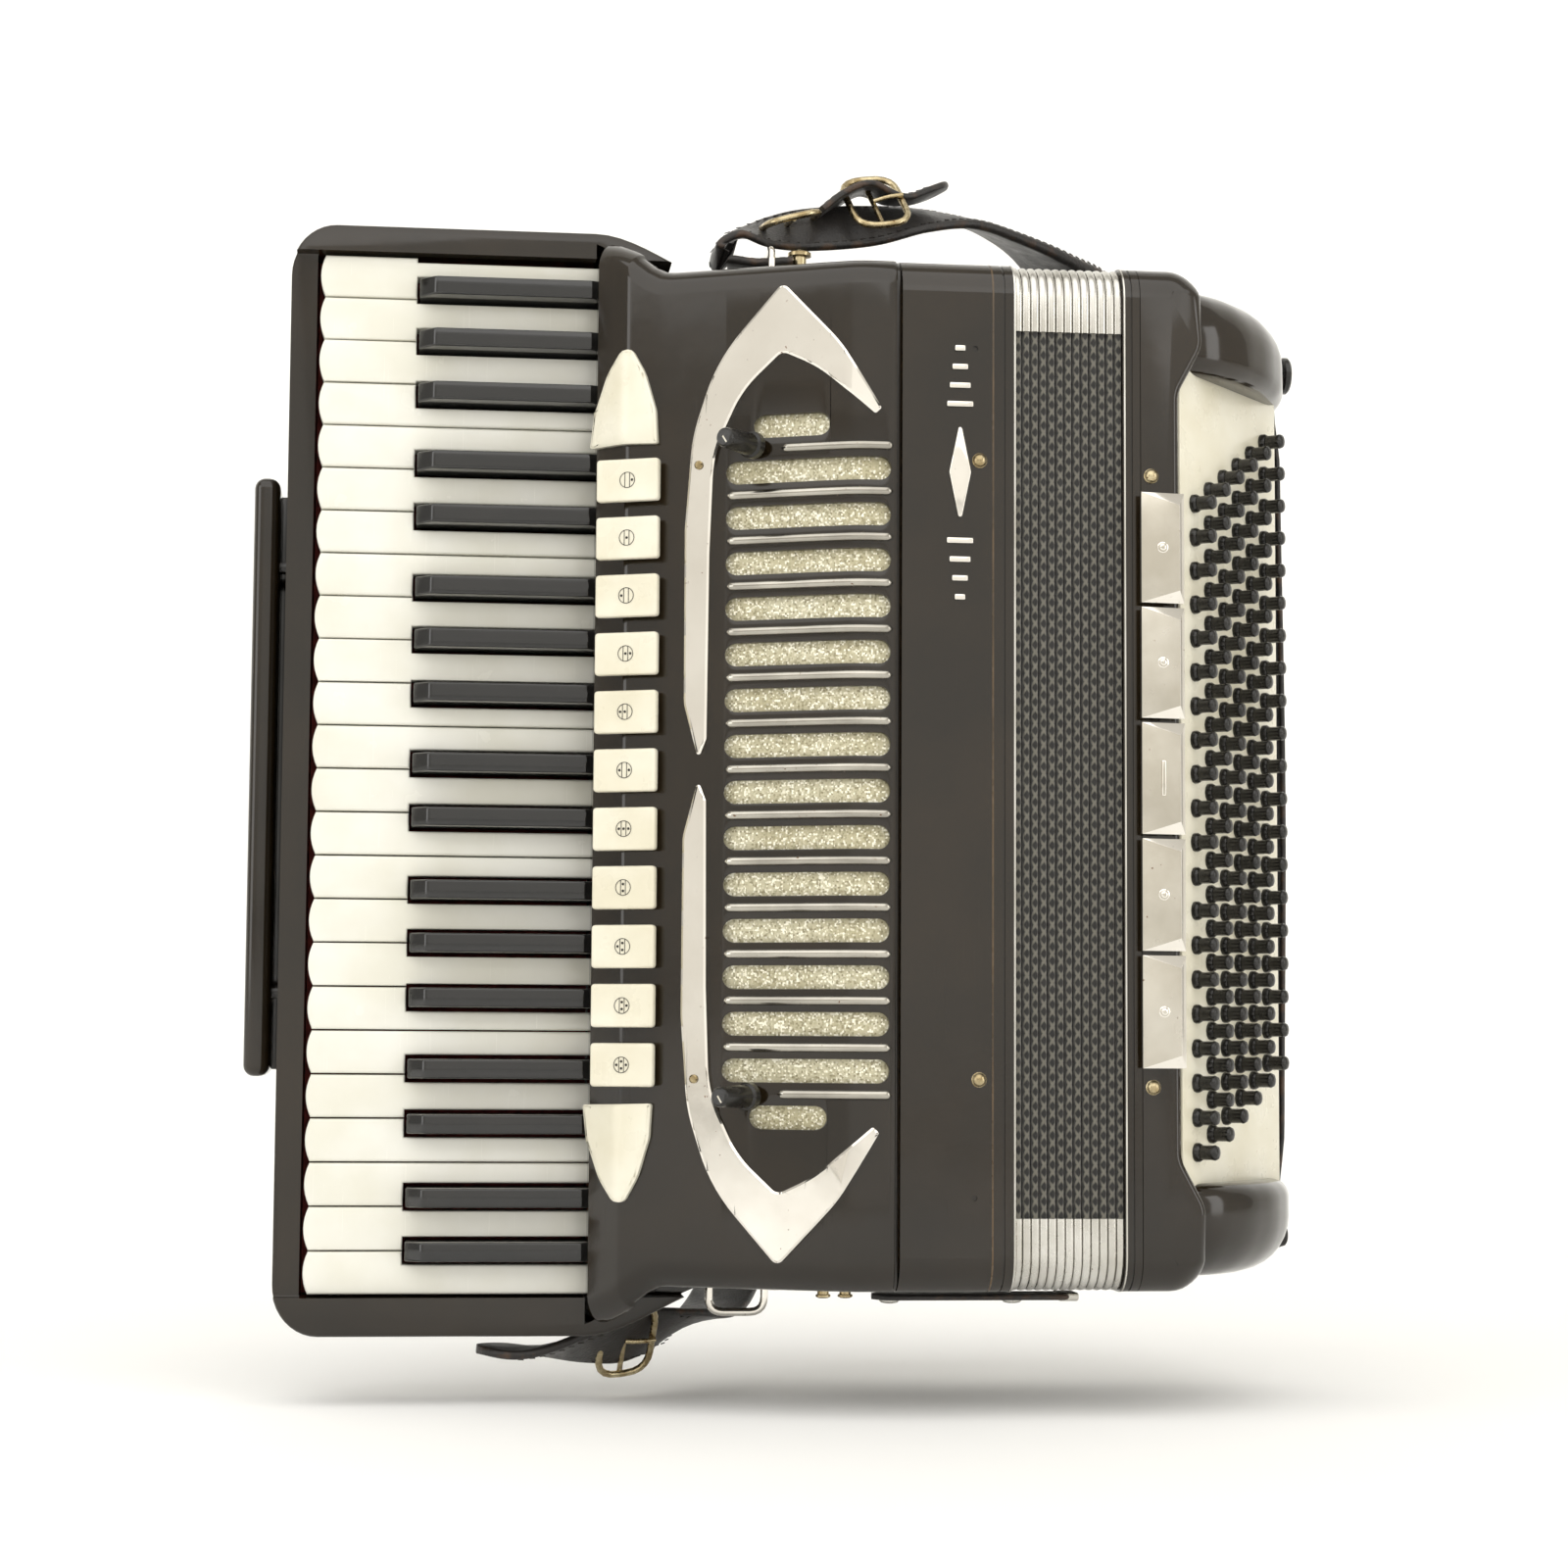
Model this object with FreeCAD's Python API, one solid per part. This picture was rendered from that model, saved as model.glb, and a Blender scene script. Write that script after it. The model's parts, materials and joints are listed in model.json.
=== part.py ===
"""Piano accordion with 41 treble keys and 120 bass buttons, as named sub-parts.

Frame: X runs along the bellows towards the bass side, Y away from the player's audience, Z up as the
instrument is worn. The origin lies on the flat back of the treble casing. Sizes are in millimetres.
"""
import FreeCAD
import Part
import math
import os

V = FreeCAD.Vector

# Casings and bellows
CASE_HALF = 232.0            # half the height of both casings
DEPTH = 190.0                # front face to flat back
CORNER = 16.0                # rounding of the long casing corners
WALL = 6.0
TREBLE_LEFT, TREBLE_RIGHT = -52.0, 34.0
COVER_RIGHT = -7.0
CHAMBER_BACK = -92.0         # the grille cover and the keyboard meet the casing here
FRAME = 8.0                  # width of a bellows frame
BELLOWS_LEFT, BELLOWS_RIGHT = 44.6, 93.4
BASS_LEFT, BASS_RIGHT = 101.9, 195.0
GAP = 0.3

# Keyboard
WHITE_PITCH = 20.0
WHITE_COUNT = 24
KEY_TOP_Z = 242.5
WHITE_NAMES = "FGABCDE"
SHARP_SHIFT = {"F": 4.3, "G": 0.0, "A": -5.0, "C": 2.6, "D": -2.4}
KEY_FRONT, KEY_BACK = -269.4, -118.0
WHITE_FACE, WHITE_UNDER = -115.0, -103.0
BLACK_FRONT, BLACK_FACE, BLACK_WIDTH = -223.5, -127.5, 9.8
KEY_PLAY = 0.7
NOTCH = 6.3
AXLE_X, AXLE_Y, AXLE_R = -126.0, -105.0, 1.5
BORE_PLAY = 0.05
PALLET_SQUEEZE = 0.91        # the pallets lie closer together than the keys
BODY_LEFT, BODY_HALF = -283.0, 256.0
PLATE_FACE, PLATE_BACK = -96.0, -60.0
RAIL_RIGHT = -271.0
CHEEK_FACE = -119.0

# Grille cover: outer profile in X and Y, from the keys to the flat front
PROFILE = [(-141.0, -131.0), (-128.0, -147.0), (-104.0, -157.5), (-45.0, -183.0), (-34.0, -187.2),
           (-22.0, -189.6), (-7.3, -190.0)]
COVER_SKIN = 3.0
FLARE = 250.0                # half height of the cover beside the keys
FLARE_FROM, FLARE_TO = -122.0, -88.0
SLOT_PITCH, SLOT_COUNT, SLOT_HEIGHT = 20.7, 16, 10.5
SLOT_LEFT, SLOT_RIGHT, SHORT_LEFT, SHORT_RIGHT = -84.0, -12.0, -72.0, -39.0
KNOB_X, KNOB_Y, KNOB_Z, KNOB_ANGLE = -70.0, -172.2, 146.0, 40.0

# Registers
TAB_COUNT, TAB_PITCH, TAB_LENGTH, TAB_WIDTH, TAB_THICK, TAB_LIFT = 11, 26.5, 30.0, 19.5, 5.0, 3.2
SHELF_X, SHELF_Y, SHELF_ANGLE = -128.0, -147.0, 23.6
PLATE_COUNT, PLATE_PITCH, PLATE_LENGTH, PLATE_MIDDLE = 5, 52.0, 50.0, -3.5

# Shoulder strap posts: X, Y, side, height
TOP_BRACKET = (-46.0, -120.0, 1, 17.0)
LOW_BRACKET = (-46.0, -40.0, -1, 8.0)

# Bass machine
BOARD_FRONT, BOARD_REAR, BOARD_HALF = (121.0, -186.0), (187.0, -108.0), 188.0
COLUMNS, ROWS, ROW_PITCH, STAGGER, FIRST_BUTTON = 6, 20, 15.5, 8.0, 164.4
BUTTON_R, STEM_R, STEM_HOLE = 3.9, 1.7, 1.8
FOOT_HEIGHT = 9.2
AIR_Y, AIR_Z = -72.0, 208.0
WHEEL_X, WHEEL_Y = 160.0, -40.0


def box(x0, x1, y0, y1, z0, z1):
    """A box between two corners."""
    return Part.makeBox(x1 - x0, y1 - y0, z1 - z0, V(x0, y0, z0))


def prism_z(points, z0, z1):
    """An X-Y outline drawn up along Z."""
    wire = Part.makePolygon([V(x, y, z0) for x, y in points + points[:1]])
    return Part.Face(wire).extrude(V(0, 0, z1 - z0))


def prism_y(points, y0, y1):
    """An X-Z outline drawn back along Y."""
    wire = Part.makePolygon([V(x, y0, z) for x, z in points + points[:1]])
    return Part.Face(wire).extrude(V(0, y1 - y0, 0))


def rod(radius, start, end):
    """A cylinder between two points."""
    start, end = V(*start), V(*end)
    return Part.makeCylinder(radius, (end - start).Length, start, end - start)


def obround_y(x0, x1, z, height, y0, y1):
    """A slot with round ends, along X, drawn along Y."""
    r = height / 2
    slot = box(x0 + r, x1 - r, y0, y1, z - r, z + r)
    ends = [rod(r, (x, y0, z), (x, y1, z)) for x in (x0 + r, x1 - r)]
    return slot.fuse(ends)


def rounded_block(x0, x1, inset, radius):
    """The casing's section, inset on every side and drawn along X, with its long corners rounded."""
    block = box(x0, x1, -DEPTH + inset, -inset, -CASE_HALF + inset, CASE_HALF - inset)
    long_edges = [e for e in block.Edges if abs(e.Vertexes[0].X - e.Vertexes[-1].X) > 0.5 * (x1 - x0)]
    return block.makeFillet(radius, long_edges)


def edges_near(shape, keep):
    """The edges of a shape whose middle point passes a test."""
    return [e for e in shape.Edges if keep(e.CenterOfMass)]


def smooth(t):
    """0 to 1 with level ends."""
    t = min(1.0, max(0.0, t))
    return t * t * (3 - 2 * t)


def end_height(x, wide, narrow, start, end):
    """Half height of the instrument's outline at a place along X."""
    return wide + (narrow - wide) * smooth((x - start) / (end - start))


def end_outline(x0, x1, wide, narrow, start, end, steps=12):
    """An X-Z outline that is wide at the keys and narrow at the casing."""
    xs = [x0] + [start + (end - start) * i / steps for i in range(steps + 1)] + [x1]
    top = [(x, end_height(x, wide, narrow, start, end)) for x in xs]
    return top + [(x, -z) for x, z in reversed(top)]


def offset_profile(distance):
    """The cover's profile moved outwards (or inwards, where negative) along its normals."""
    moved = []
    for i, (x, y) in enumerate(PROFILE):
        a, b = PROFILE[max(i - 1, 0)], PROFILE[min(i + 1, len(PROFILE) - 1)]
        dx, dy = b[0] - a[0], b[1] - a[1]
        length = math.hypot(dx, dy)
        moved.append((x + distance * dy / length, y - distance * dx / length))
    return moved


def skin(inner, outer, half=CASE_HALF):
    """A layer over the cover's front, between two offsets of its profile."""
    return prism_z(offset_profile(outer) + offset_profile(inner)[::-1], -half, half)


def shelf_point(along, lift):
    """A point on the register shelf: along it, and lifted off it."""
    c, s = math.cos(math.radians(SHELF_ANGLE)), math.sin(math.radians(SHELF_ANGLE))
    return SHELF_X + along * c - lift * s, SHELF_Y - along * s - lift * c


def shelf_prism(a0, a1, l0, l1, z0, z1):
    """A box that lies square to the register shelf."""
    corners = [(a0, l0), (a1, l0), (a1, l1), (a0, l1)]
    return prism_z([shelf_point(a, l) for a, l in corners], z0, z1)


def slot_heights():
    """Z of each grille slot, from the top down."""
    return [(SLOT_COUNT / 2 - 0.5 - i) * SLOT_PITCH for i in range(SLOT_COUNT)]


def tab_heights():
    """Z of each register tab's middle, from the top down."""
    return [((TAB_COUNT - 1) / 2 - i) * TAB_PITCH for i in range(TAB_COUNT)]


def plate_heights():
    """Z of each bass register's middle, from the top down."""
    return [PLATE_MIDDLE + ((PLATE_COUNT - 1) / 2 - i) * PLATE_PITCH for i in range(PLATE_COUNT)]


# ---------------------------------------------------------------- treble side, fixed
def treble_casing():
    shell = rounded_block(TREBLE_LEFT, TREBLE_RIGHT, 0, CORNER)
    shell = shell.cut(rounded_block(TREBLE_LEFT + WALL, TREBLE_RIGHT + 1, WALL, CORNER - WALL))
    shell = shell.cut(box(TREBLE_LEFT - 1, COVER_RIGHT, -DEPTH - 1, CHAMBER_BACK, -CASE_HALF, CASE_HALF))
    ledges = [box(-4.0, 2.0, -DEPTH + WALL, -WALL, z - 4, z + 4) for z in (-220.0, 220.0)]
    pins = [rod(1.3, (TREBLE_RIGHT - 8, -DEPTH - 0.5, z), (TREBLE_RIGHT - 8, -DEPTH + 1, z))
            for z in (-190.0, 190.0)]
    return shell.fuse(ledges).cut(pins)


def keyboard_body():
    outline = end_outline(BODY_LEFT, TREBLE_LEFT - GAP, BODY_HALF, CASE_HALF, -160.0, -92.0)
    plate = prism_y(outline, PLATE_FACE, PLATE_BACK)
    plate = plate.cut(box(-141.6, TREBLE_LEFT, PLATE_FACE - 1, PLATE_FACE + 5, -BODY_HALF, BODY_HALF))
    rail = box(BODY_LEFT, RAIL_RIGHT, -111.0, PLATE_FACE, -BODY_HALF, BODY_HALF)
    top = box(BODY_LEFT, -141.6, CHEEK_FACE, PLATE_FACE, KEY_TOP_Z + 1, BODY_HALF)
    low = KEY_TOP_Z - WHITE_PITCH * WHITE_COUNT - 1
    bottom = box(BODY_LEFT, -141.6, CHEEK_FACE, PLATE_FACE, -BODY_HALF, low)
    blocks = [box(-139.3, -121.5, -112.0, -90.0, KEY_TOP_Z + 1, 246.3),
              box(-139.3, -121.5, -112.0, -90.0, -246.3, low)]
    body = plate.fuse([rail, top, bottom] + blocks).removeSplitter()
    body = body.cut(rod(AXLE_R + BORE_PLAY, (AXLE_X, AXLE_Y, -250), (AXLE_X, AXLE_Y, 250)))
    for z in (-100.0, 100.0):
        body = body.cut(rod(3.08, (BODY_LEFT - 1, -78.0, z), (-266.0, -78.0, z)))
    return body


def knob_axis(z, along):
    """A point on a control knob's axis."""
    a = math.radians(KNOB_ANGLE)
    return KNOB_X - along * math.sin(a), KNOB_Y - along * math.cos(a), z


def grille_cover():
    ends = [(COVER_RIGHT - GAP, CHAMBER_BACK - GAP), (PROFILE[0][0], CHAMBER_BACK - GAP)]
    outer = prism_z(PROFILE + ends, -FLARE, FLARE)
    outline = end_outline(-150.0, -7.3, FLARE, CASE_HALF - 0.2, FLARE_FROM, FLARE_TO)
    outer = outer.common(prism_y(outline, -DEPTH - 5, 0))
    inner_profile = offset_profile(-COVER_SKIN)
    inner_ends = [(COVER_RIGHT + 1, inner_profile[-1][1]), (COVER_RIGHT + 1, -80), (-139.6, -80)]
    inner = prism_z([(-139.6, inner_profile[0][1])] + inner_profile[1:-1] + inner_ends, -FLARE, FLARE)
    core = end_outline(-150.0, COVER_RIGHT + 1, FLARE - COVER_SKIN, CASE_HALF - 0.2 - COVER_SKIN,
                       FLARE_FROM, FLARE_TO)
    cover = outer.cut(inner.common(prism_y(core, -DEPTH - 5, 0)))
    low = KEY_TOP_Z - WHITE_PITCH * WHITE_COUNT - 1
    cover = cover.cut(box(-142.0, -138.0, -130.5, CHAMBER_BACK + 1, low - 0.2, KEY_TOP_Z + 1.2))
    for z in (-154.0, 154.0):
        cover = cover.fuse(shelf_prism(9.5, 14.5, -9.0, -2.0, z - 4, z + 4))
    cuts = []
    for i, z in enumerate(slot_heights()):
        short = i in (0, SLOT_COUNT - 1)
        left, right = (SHORT_LEFT, SHORT_RIGHT) if short else (SLOT_LEFT, SLOT_RIGHT)
        cuts.append(obround_y(left, right, z, SLOT_HEIGHT, -DEPTH - 5, -140.0))
    cuts += [shelf_prism(9.0, 15.0, -4.5, 2.0, z - 4, z + 4) for z in tab_heights()]
    cuts.append(rod(1.05, (*shelf_point(12, -6), -170), (*shelf_point(12, -6), 170)))
    cuts += [rod(3.06, knob_axis(s * KNOB_Z, -12), knob_axis(s * KNOB_Z, 8)) for s in (-1, 1)]
    return cover.cut(cuts)


def grille_cloth():
    x0, x1 = SLOT_LEFT - 4, SLOT_RIGHT + 3
    sheet = skin(-COVER_SKIN - 1.0, -COVER_SKIN - 0.1).common(box(x0, x1, -DEPTH, -140, -165, 165))
    return sheet.cut([rod(6.0, knob_axis(s * KNOB_Z, -12), knob_axis(s * KNOB_Z, 8)) for s in (-1, 1)])


TRIM_OUTER = [(-94.7, 4.5), (-101.0, 30.0), (-101.4, 110.0), (-100.2, 138.0), (-96.5, 163.0),
              (-88.5, 185.0), (-77.0, 204.0), (-59.5, 220.0), (-48.0, 207.0), (-33.4, 191.5),
              (-21.5, 174.5), (-17.0, 161.0)]
TRIM_INNER = [(-21.0, 159.5), (-29.1, 168.5), (-44.4, 181.0), (-59.5, 188.5), (-69.0, 182.0),
              (-77.5, 171.0), (-84.5, 158.5), (-88.9, 143.0), (-90.4, 122.0), (-90.8, 60.0), (-91.2, 14.0)]
CAP_OUTLINE = [(-127.0, 197.0), (-121.0, 183.0), (-116.0, 168.0), (-113.8, 149.5), (-141.5, 150.5),
               (-140.0, 165.0), (-134.5, 183.0)]


def grille_chrome():
    trim = prism_y(TRIM_OUTER + TRIM_INNER, -DEPTH - 8, -140).common(skin(0.05, 2.6))
    pieces = [trim, trim.mirror(V(0, 0, 0), V(0, 0, 1))]
    for i in range(SLOT_COUNT - 1):
        z = (SLOT_COUNT / 2 - 1 - i) * SLOT_PITCH
        left = -60.0 if i in (0, SLOT_COUNT - 2) else SLOT_LEFT
        pieces.append(skin(0.05, 2.0).common(box(left, SLOT_RIGHT + 1, -DEPTH - 4, -140, z - 2, z + 2)))
    return Part.makeCompound(pieces)


def register_end_caps():
    cap = prism_y(CAP_OUTLINE, -DEPTH, -120).common(skin(0.1, 3.6))
    return Part.makeCompound([cap, cap.mirror(V(0, 0, 0), V(0, 0, 1))])


def axles():
    key_axle = rod(AXLE_R, (AXLE_X, AXLE_Y, -246.0), (AXLE_X, AXLE_Y, 246.0))
    register_axle = rod(1.0, (*shelf_point(12, -6), -157.0), (*shelf_point(12, -6), 157.0))
    return Part.makeCompound([key_axle, register_axle])


def soundboard(x0, x1, holes):
    """A wooden plate across a casing, with a row of holes for the reeds."""
    plate = rounded_block(x0, x1, 8, CORNER - 6)
    return plate.cut([box(x0 - 1, x1 + 1, y - 5, y + 5, z - 3.2, z + 3.2) for y, z in holes])


def treble_soundboard():
    holes = [(y, 0.91 * (KEY_TOP_Z - WHITE_PITCH * (i + 0.5))) for i in range(1, WHITE_COUNT - 1)
             for y in (-138.0, -162.0)]
    return soundboard(-13.0, -4.2, holes)


def reed_block(x0, x1, y, z0, z1, chambers):
    """A tapered wooden block with reed plates on both sides."""
    block = prism_z([(x0, y - 9), (x0, y + 9), (x1, y + 5), (x1, y - 5)], z0, z1)
    step = (z1 - z0) / chambers
    plates = []
    for i in range(chambers):
        z = z0 + step * (i + 0.5)
        for side in (-1, 1):
            y0, y1 = sorted((y + side * 9.3, y + side * 10.8))
            plates.append(box(x0 + 4, x1 - 6, y0, y1, z - 0.4 * step, z + 0.4 * step))
    return [block] + plates


def treble_reed_blocks():
    pieces = []
    for y in (-160.0, -120.0, -72.0, -34.0):
        pieces += reed_block(-4.0, 38.0, y, -195.0, 195.0, 12)
    return Part.makeCompound(pieces)


def bellows_frame(x0, x1):
    """A ring between a casing and the bellows, with a groove for the gasket."""
    ring = rounded_block(x0, x1, 0, CORNER).cut(rounded_block(x0 - 1, x1 + 1, 9, CORNER - 9))
    middle = (x0 + x1) / 2
    groove = rounded_block(middle - 0.5, middle + 0.5, 0, CORNER)
    groove = groove.cut(rounded_block(middle - 1, middle + 1, 0.8, CORNER - 0.8))
    return ring.cut(groove)


def bellows():
    return rounded_block(BELLOWS_LEFT, BELLOWS_RIGHT, 1.0, CORNER - 1).cut(
        rounded_block(BELLOWS_LEFT - 1, BELLOWS_RIGHT + 1, 20.0, 4.0))


def dome_pin(x, z, radius=3.2):
    """The head of a round-headed pin on the front."""
    ball = Part.makeSphere(radius * 1.15, V(x, -DEPTH + 1.2, z))
    return ball.common(box(x - 9, x + 9, -DEPTH - 9, -DEPTH - 0.05, z - 9, z + 9))


def strap_bracket(x, y, sign, height):
    """A headed post that a shoulder strap is fastened to, on the top or bottom of the casing."""
    z = sign * (CASE_HALF + 0.1)
    foot = box(x - 12, x + 12, y - 9, y + 9, min(z, z + sign * 2.4), max(z, z + sign * 2.4))
    post = rod(3.2, (x, y, z), (x, y, z + sign * height))
    head = rod(5.5, (x, y, z + sign * (height - 2)), (x, y, z + sign * (height + 1)))
    screws = [rod(2.4, (x + dx, y, z + sign * 2.4), (x + dx, y, z + sign * 3.4)) for dx in (-8.5, 8.5)]
    return foot.fuse([post, head] + screws)


def buckle(x, y, z, tilt):
    """A rectangular strap buckle with its tongue."""
    frame = box(-13, 13, -20, 20, -1.5, 1.5).cut(box(-10, 10, -17, 17, -2, 2))
    tongue = rod(1.2, (-11, 0, 1.9), (12, 0, 2.4))
    piece = frame.fuse(tongue)
    piece.rotate(V(0, 0, 0), V(0, 1, 0), tilt)
    piece.translate(V(x, y, z))
    return piece


def treble_fittings():
    pieces = [dome_pin(28.0, 139.0), dome_pin(28.0, -138.0)]
    pieces += [strap_bracket(*place) for place in (TOP_BRACKET, LOW_BRACKET)]
    pieces += [rod(4.0, (x, -150.0, CASE_HALF + 0.1), (x, -150.0, CASE_HALF + 4)) for x in (0.0, 23.0)]
    pieces += [rod(3.5, (x, -150.0, -CASE_HALF - 4), (x, -150.0, -CASE_HALF - 0.1)) for x in (-36.0, -26.0)]
    pieces += [rod(1.3, (26, -DEPTH - 0.4, z), (26, -DEPTH + 0.9, z)) for z in (-190.0, 190.0)]
    return Part.makeCompound(pieces)


STRAP_POINTS = [(-66, -112, 255, "top"), (-40, -107, 262, "top"), (-12, -100, 268, "top"),
                (12, -90, 275, "top"), (36, -76, 279, "top"), (60, -60, 278, "top"),
                (88, -38, 271, "top"), (112, -12, 258, "corner"), (122, 14, 232, "back"),
                (117, 32, 190, "back"), (100, 44, 130, "back"), (76, 50, 65, "back"),
                (48, 52, 0, "back"), (18, 50, -65, "back"), (-12, 44, -125, "back"),
                (-38, 34, -180, "back"), (-56, 16, -222, "corner2"), (-72, -22, -250, "low"),
                (-98, -58, -262, "low"), (-132, -84, -266, "low"), (-168, -96, -266, "low"),
                (-190, -100, -266, "low")]
NORMALS = {"top": V(0, 0, 1), "corner": V(0.3, 0.6, 0.75), "back": V(0, 1, 0),
           "corner2": V(0, 0.8, -0.6), "low": V(0, 0, -1)}
STRAP_WIDTH, STRAP_THICK = 30.0, 4.0


def strap_band(points, width, thick):
    """A flat band through a list of points, each with the way its face looks."""
    sections = []
    for i, (x, y, z, face) in enumerate(points):
        before, after = points[max(i - 1, 0)], points[min(i + 1, len(points) - 1)]
        along = (V(*after[:3]) - V(*before[:3])).normalize()
        across = along.cross(NORMALS[face]).normalize()
        up = across.cross(along).normalize()
        corners = [V(x, y, z) + across * (a * width / 2) + up * (b * thick / 2)
                   for a, b in ((-1, -1), (1, -1), (1, 1), (-1, 1), (-1, -1))]
        sections.append(Part.makePolygon(corners))
    return Part.makeLoft(sections, True, True)


def shoulder_strap():
    return strap_band(STRAP_POINTS, STRAP_WIDTH, STRAP_THICK)


def strap_buckles():
    return Part.makeCompound([buckle(-50.0, -108.0, 265.5, -14.0), buckle(-8.0, -99.0, 278.5, -10.0),
                              buckle(-112.0, -70.0, -271.5, 4.0)])


# ---------------------------------------------------------------- bass side, fixed
def bass_outline(inset, front_right, bulge):
    """X-Y outline of the bass casing, with a rounded or a flat slope for the board."""
    x0, x1 = BASS_LEFT, BASS_RIGHT - inset
    points = [(x0, -inset), (x0, -DEPTH + inset), (front_right, -DEPTH + inset)]
    end = (x1, -88.0)
    for i in range(1, 12):
        t = i / 12
        x = front_right + (end[0] - front_right) * t
        y = -DEPTH + inset + (end[1] + DEPTH - inset) * t
        lift = bulge * math.sin(math.pi * t)
        points.append((x + lift * 0.78, y - lift * 0.62))
    rear = [(x1, -88.0), (x1, -14.0 - inset), (x1 - 3, -6.0 - inset), (x1 - 10, -inset)]
    return points + rear


def bass_casing():
    outer = prism_z(bass_outline(0, 124.0, 17.0), -CASE_HALF, CASE_HALF)
    outer = outer.common(rounded_block(BASS_LEFT, BASS_RIGHT + 20, 0, CORNER))
    inner = prism_z(bass_outline(5.0, 122.0, 13.0), -CASE_HALF, CASE_HALF)
    inner = inner.common(rounded_block(BASS_LEFT - 1, BASS_RIGHT + 20, 5.0, CORNER - 5))
    casing = outer.cut(inner).cut(rounded_block(BASS_LEFT - 1, BASS_LEFT + 6, WALL, CORNER - WALL))
    (x0, y0), (x1, y1) = BOARD_FRONT, BOARD_REAR
    window = prism_z([(x0 - 1.5, -DEPTH - 30), (x0 - 1.5, y0 + 5), (x1 - 2.0, y1 + 6), (x1 + 60, y1 - 20),
                      (x1 + 60, -DEPTH - 30)], -BOARD_HALF, BOARD_HALF)
    casing = casing.cut(window)
    holes = [rod(2.06, (110.0, -DEPTH - 2, z + dz), (110.0, -DEPTH + 8, z + dz))
             for z in plate_heights() for dz in (-14.0, 14.0)]
    holes.append(rod(3.06, (WHEEL_X, WHEEL_Y, CASE_HALF - 8), (WHEEL_X, WHEEL_Y, CASE_HALF + 2)))
    holes.append(rod(3.06, (BASS_RIGHT - 8, AIR_Y, AIR_Z), (BASS_RIGHT + 2, AIR_Y, AIR_Z)))
    return casing.cut(holes)


def board_point(along, lift):
    """A point on the button board: along its slope from the front, and lifted off it."""
    (x0, y0), (x1, y1) = BOARD_FRONT, BOARD_REAR
    length = math.hypot(x1 - x0, y1 - y0)
    ux, uy = (x1 - x0) / length, (y1 - y0) / length
    return x0 + ux * along + uy * lift, y0 + uy * along - ux * lift


def button_places():
    """Column, distance along the slope and Z of all the buttons."""
    places = []
    for column in range(COLUMNS):
        along = 13.0 + 14.6 * column
        top = FIRST_BUTTON - STAGGER * (COLUMNS - 1 - column)
        places += [(column, along, top - ROW_PITCH * row) for row in range(ROWS)]
    return places


def button_board():
    length = math.hypot(BOARD_REAR[0] - BOARD_FRONT[0], BOARD_REAR[1] - BOARD_FRONT[1])
    corners = [board_point(a, l) for a, l in ((0.5, 0), (length - 3, 0), (length - 3, -3.0), (0.5, -3.0))]
    board = prism_z(corners, -BOARD_HALF + 0.3, BOARD_HALF - 0.3)
    holes = [rod(STEM_HOLE, (*board_point(a, 2), z), (*board_point(a, -5), z)) for _, a, z in button_places()]
    return board.cut(holes)


def bass_soundboard():
    holes = [(y, z) for y in (-150.0, -110.0, -70.0, -30.0) for z in range(-180, 181, 40)]
    return soundboard(96.0, 101.5, holes).cut(
        rounded_block(90.0, 110.0, 0, CORNER).cut(rounded_block(90.0, 110.0, 9.3, CORNER - 9)))


def bass_reed_blocks():
    pieces = []
    for y in (-140.0, -96.0, -52.0):
        pieces += [shape.mirror(V(47.9, 0, 0), V(1, 0, 0)) for shape in
                   reed_block(0.0, 40.0, y, -170.0, 170.0, 12)]
    return Part.makeCompound(pieces + [bass_soundboard()])


def bass_strap():
    rise = [(-196.0, 0.6), (-176.0, 1.0), (-120.0, 4.6), (-60.0, 6.0), (0.0, 6.3),
            (60.0, 6.0), (120.0, 4.6), (176.0, 1.0), (196.0, 0.6)]
    inner = [(BASS_RIGHT + x, z) for z, x in rise]
    outer = [(BASS_RIGHT + x + 2.4, z) for z, x in reversed(rise)]
    return prism_y(inner + outer, -48.0, -14.0).fuse(prism_y(
        [(x, z) for x, z in inner + outer if abs(z) < 180], -78.0, -48.0))


def rubber_foot(y, z):
    """A rubber foot on the bass end, which the instrument rests on when it is put down."""
    foot = rod(6.0, (BASS_RIGHT + 0.1, y, z), (BASS_RIGHT + FOOT_HEIGHT, y, z))
    return foot.makeFillet(1.5, edges_near(foot, lambda c: c.x > BASS_RIGHT + FOOT_HEIGHT - 1))


def bass_fittings():
    pieces = [dome_pin(106.5, 134.0), dome_pin(106.5, -141.0)]
    pieces += [box(BASS_RIGHT + 0.1, BASS_RIGHT + 2.0, -46.0, -16.0, z - 5, z + 5) for z in (-203.0, 203.0)]
    pieces += [rubber_foot(y, z) for y in (-54.0, -20.0) for z in (-220.0, 220.0)]
    return Part.makeCompound(pieces)


# ---------------------------------------------------------------- moving pieces
def palm_bar():
    bar = box(-299.0, -287.0, -98.0, -62.0, -139.0, 140.0)
    bar = bar.makeFillet(5.0, edges_near(bar, lambda c: c.x < -290 or abs(c.z) > 138))
    return bar.fuse([rod(3.0, (-288.0, -78.0, z), (-271.0, -78.0, z)) for z in (-100.0, 100.0)])


def control_knob(sign):
    z = sign * KNOB_Z
    shaft = rod(3.0, knob_axis(z, -10.0), knob_axis(z, 3.5))
    collar = rod(6.2, knob_axis(z, 3.0), knob_axis(z, 8.0))
    start, end = V(*knob_axis(z, 8.0)), V(*knob_axis(z, 28.0))
    handle = Part.makeCone(5.2, 4.4, 20.0, start, end - start)
    return shaft.fuse([collar, handle])


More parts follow.
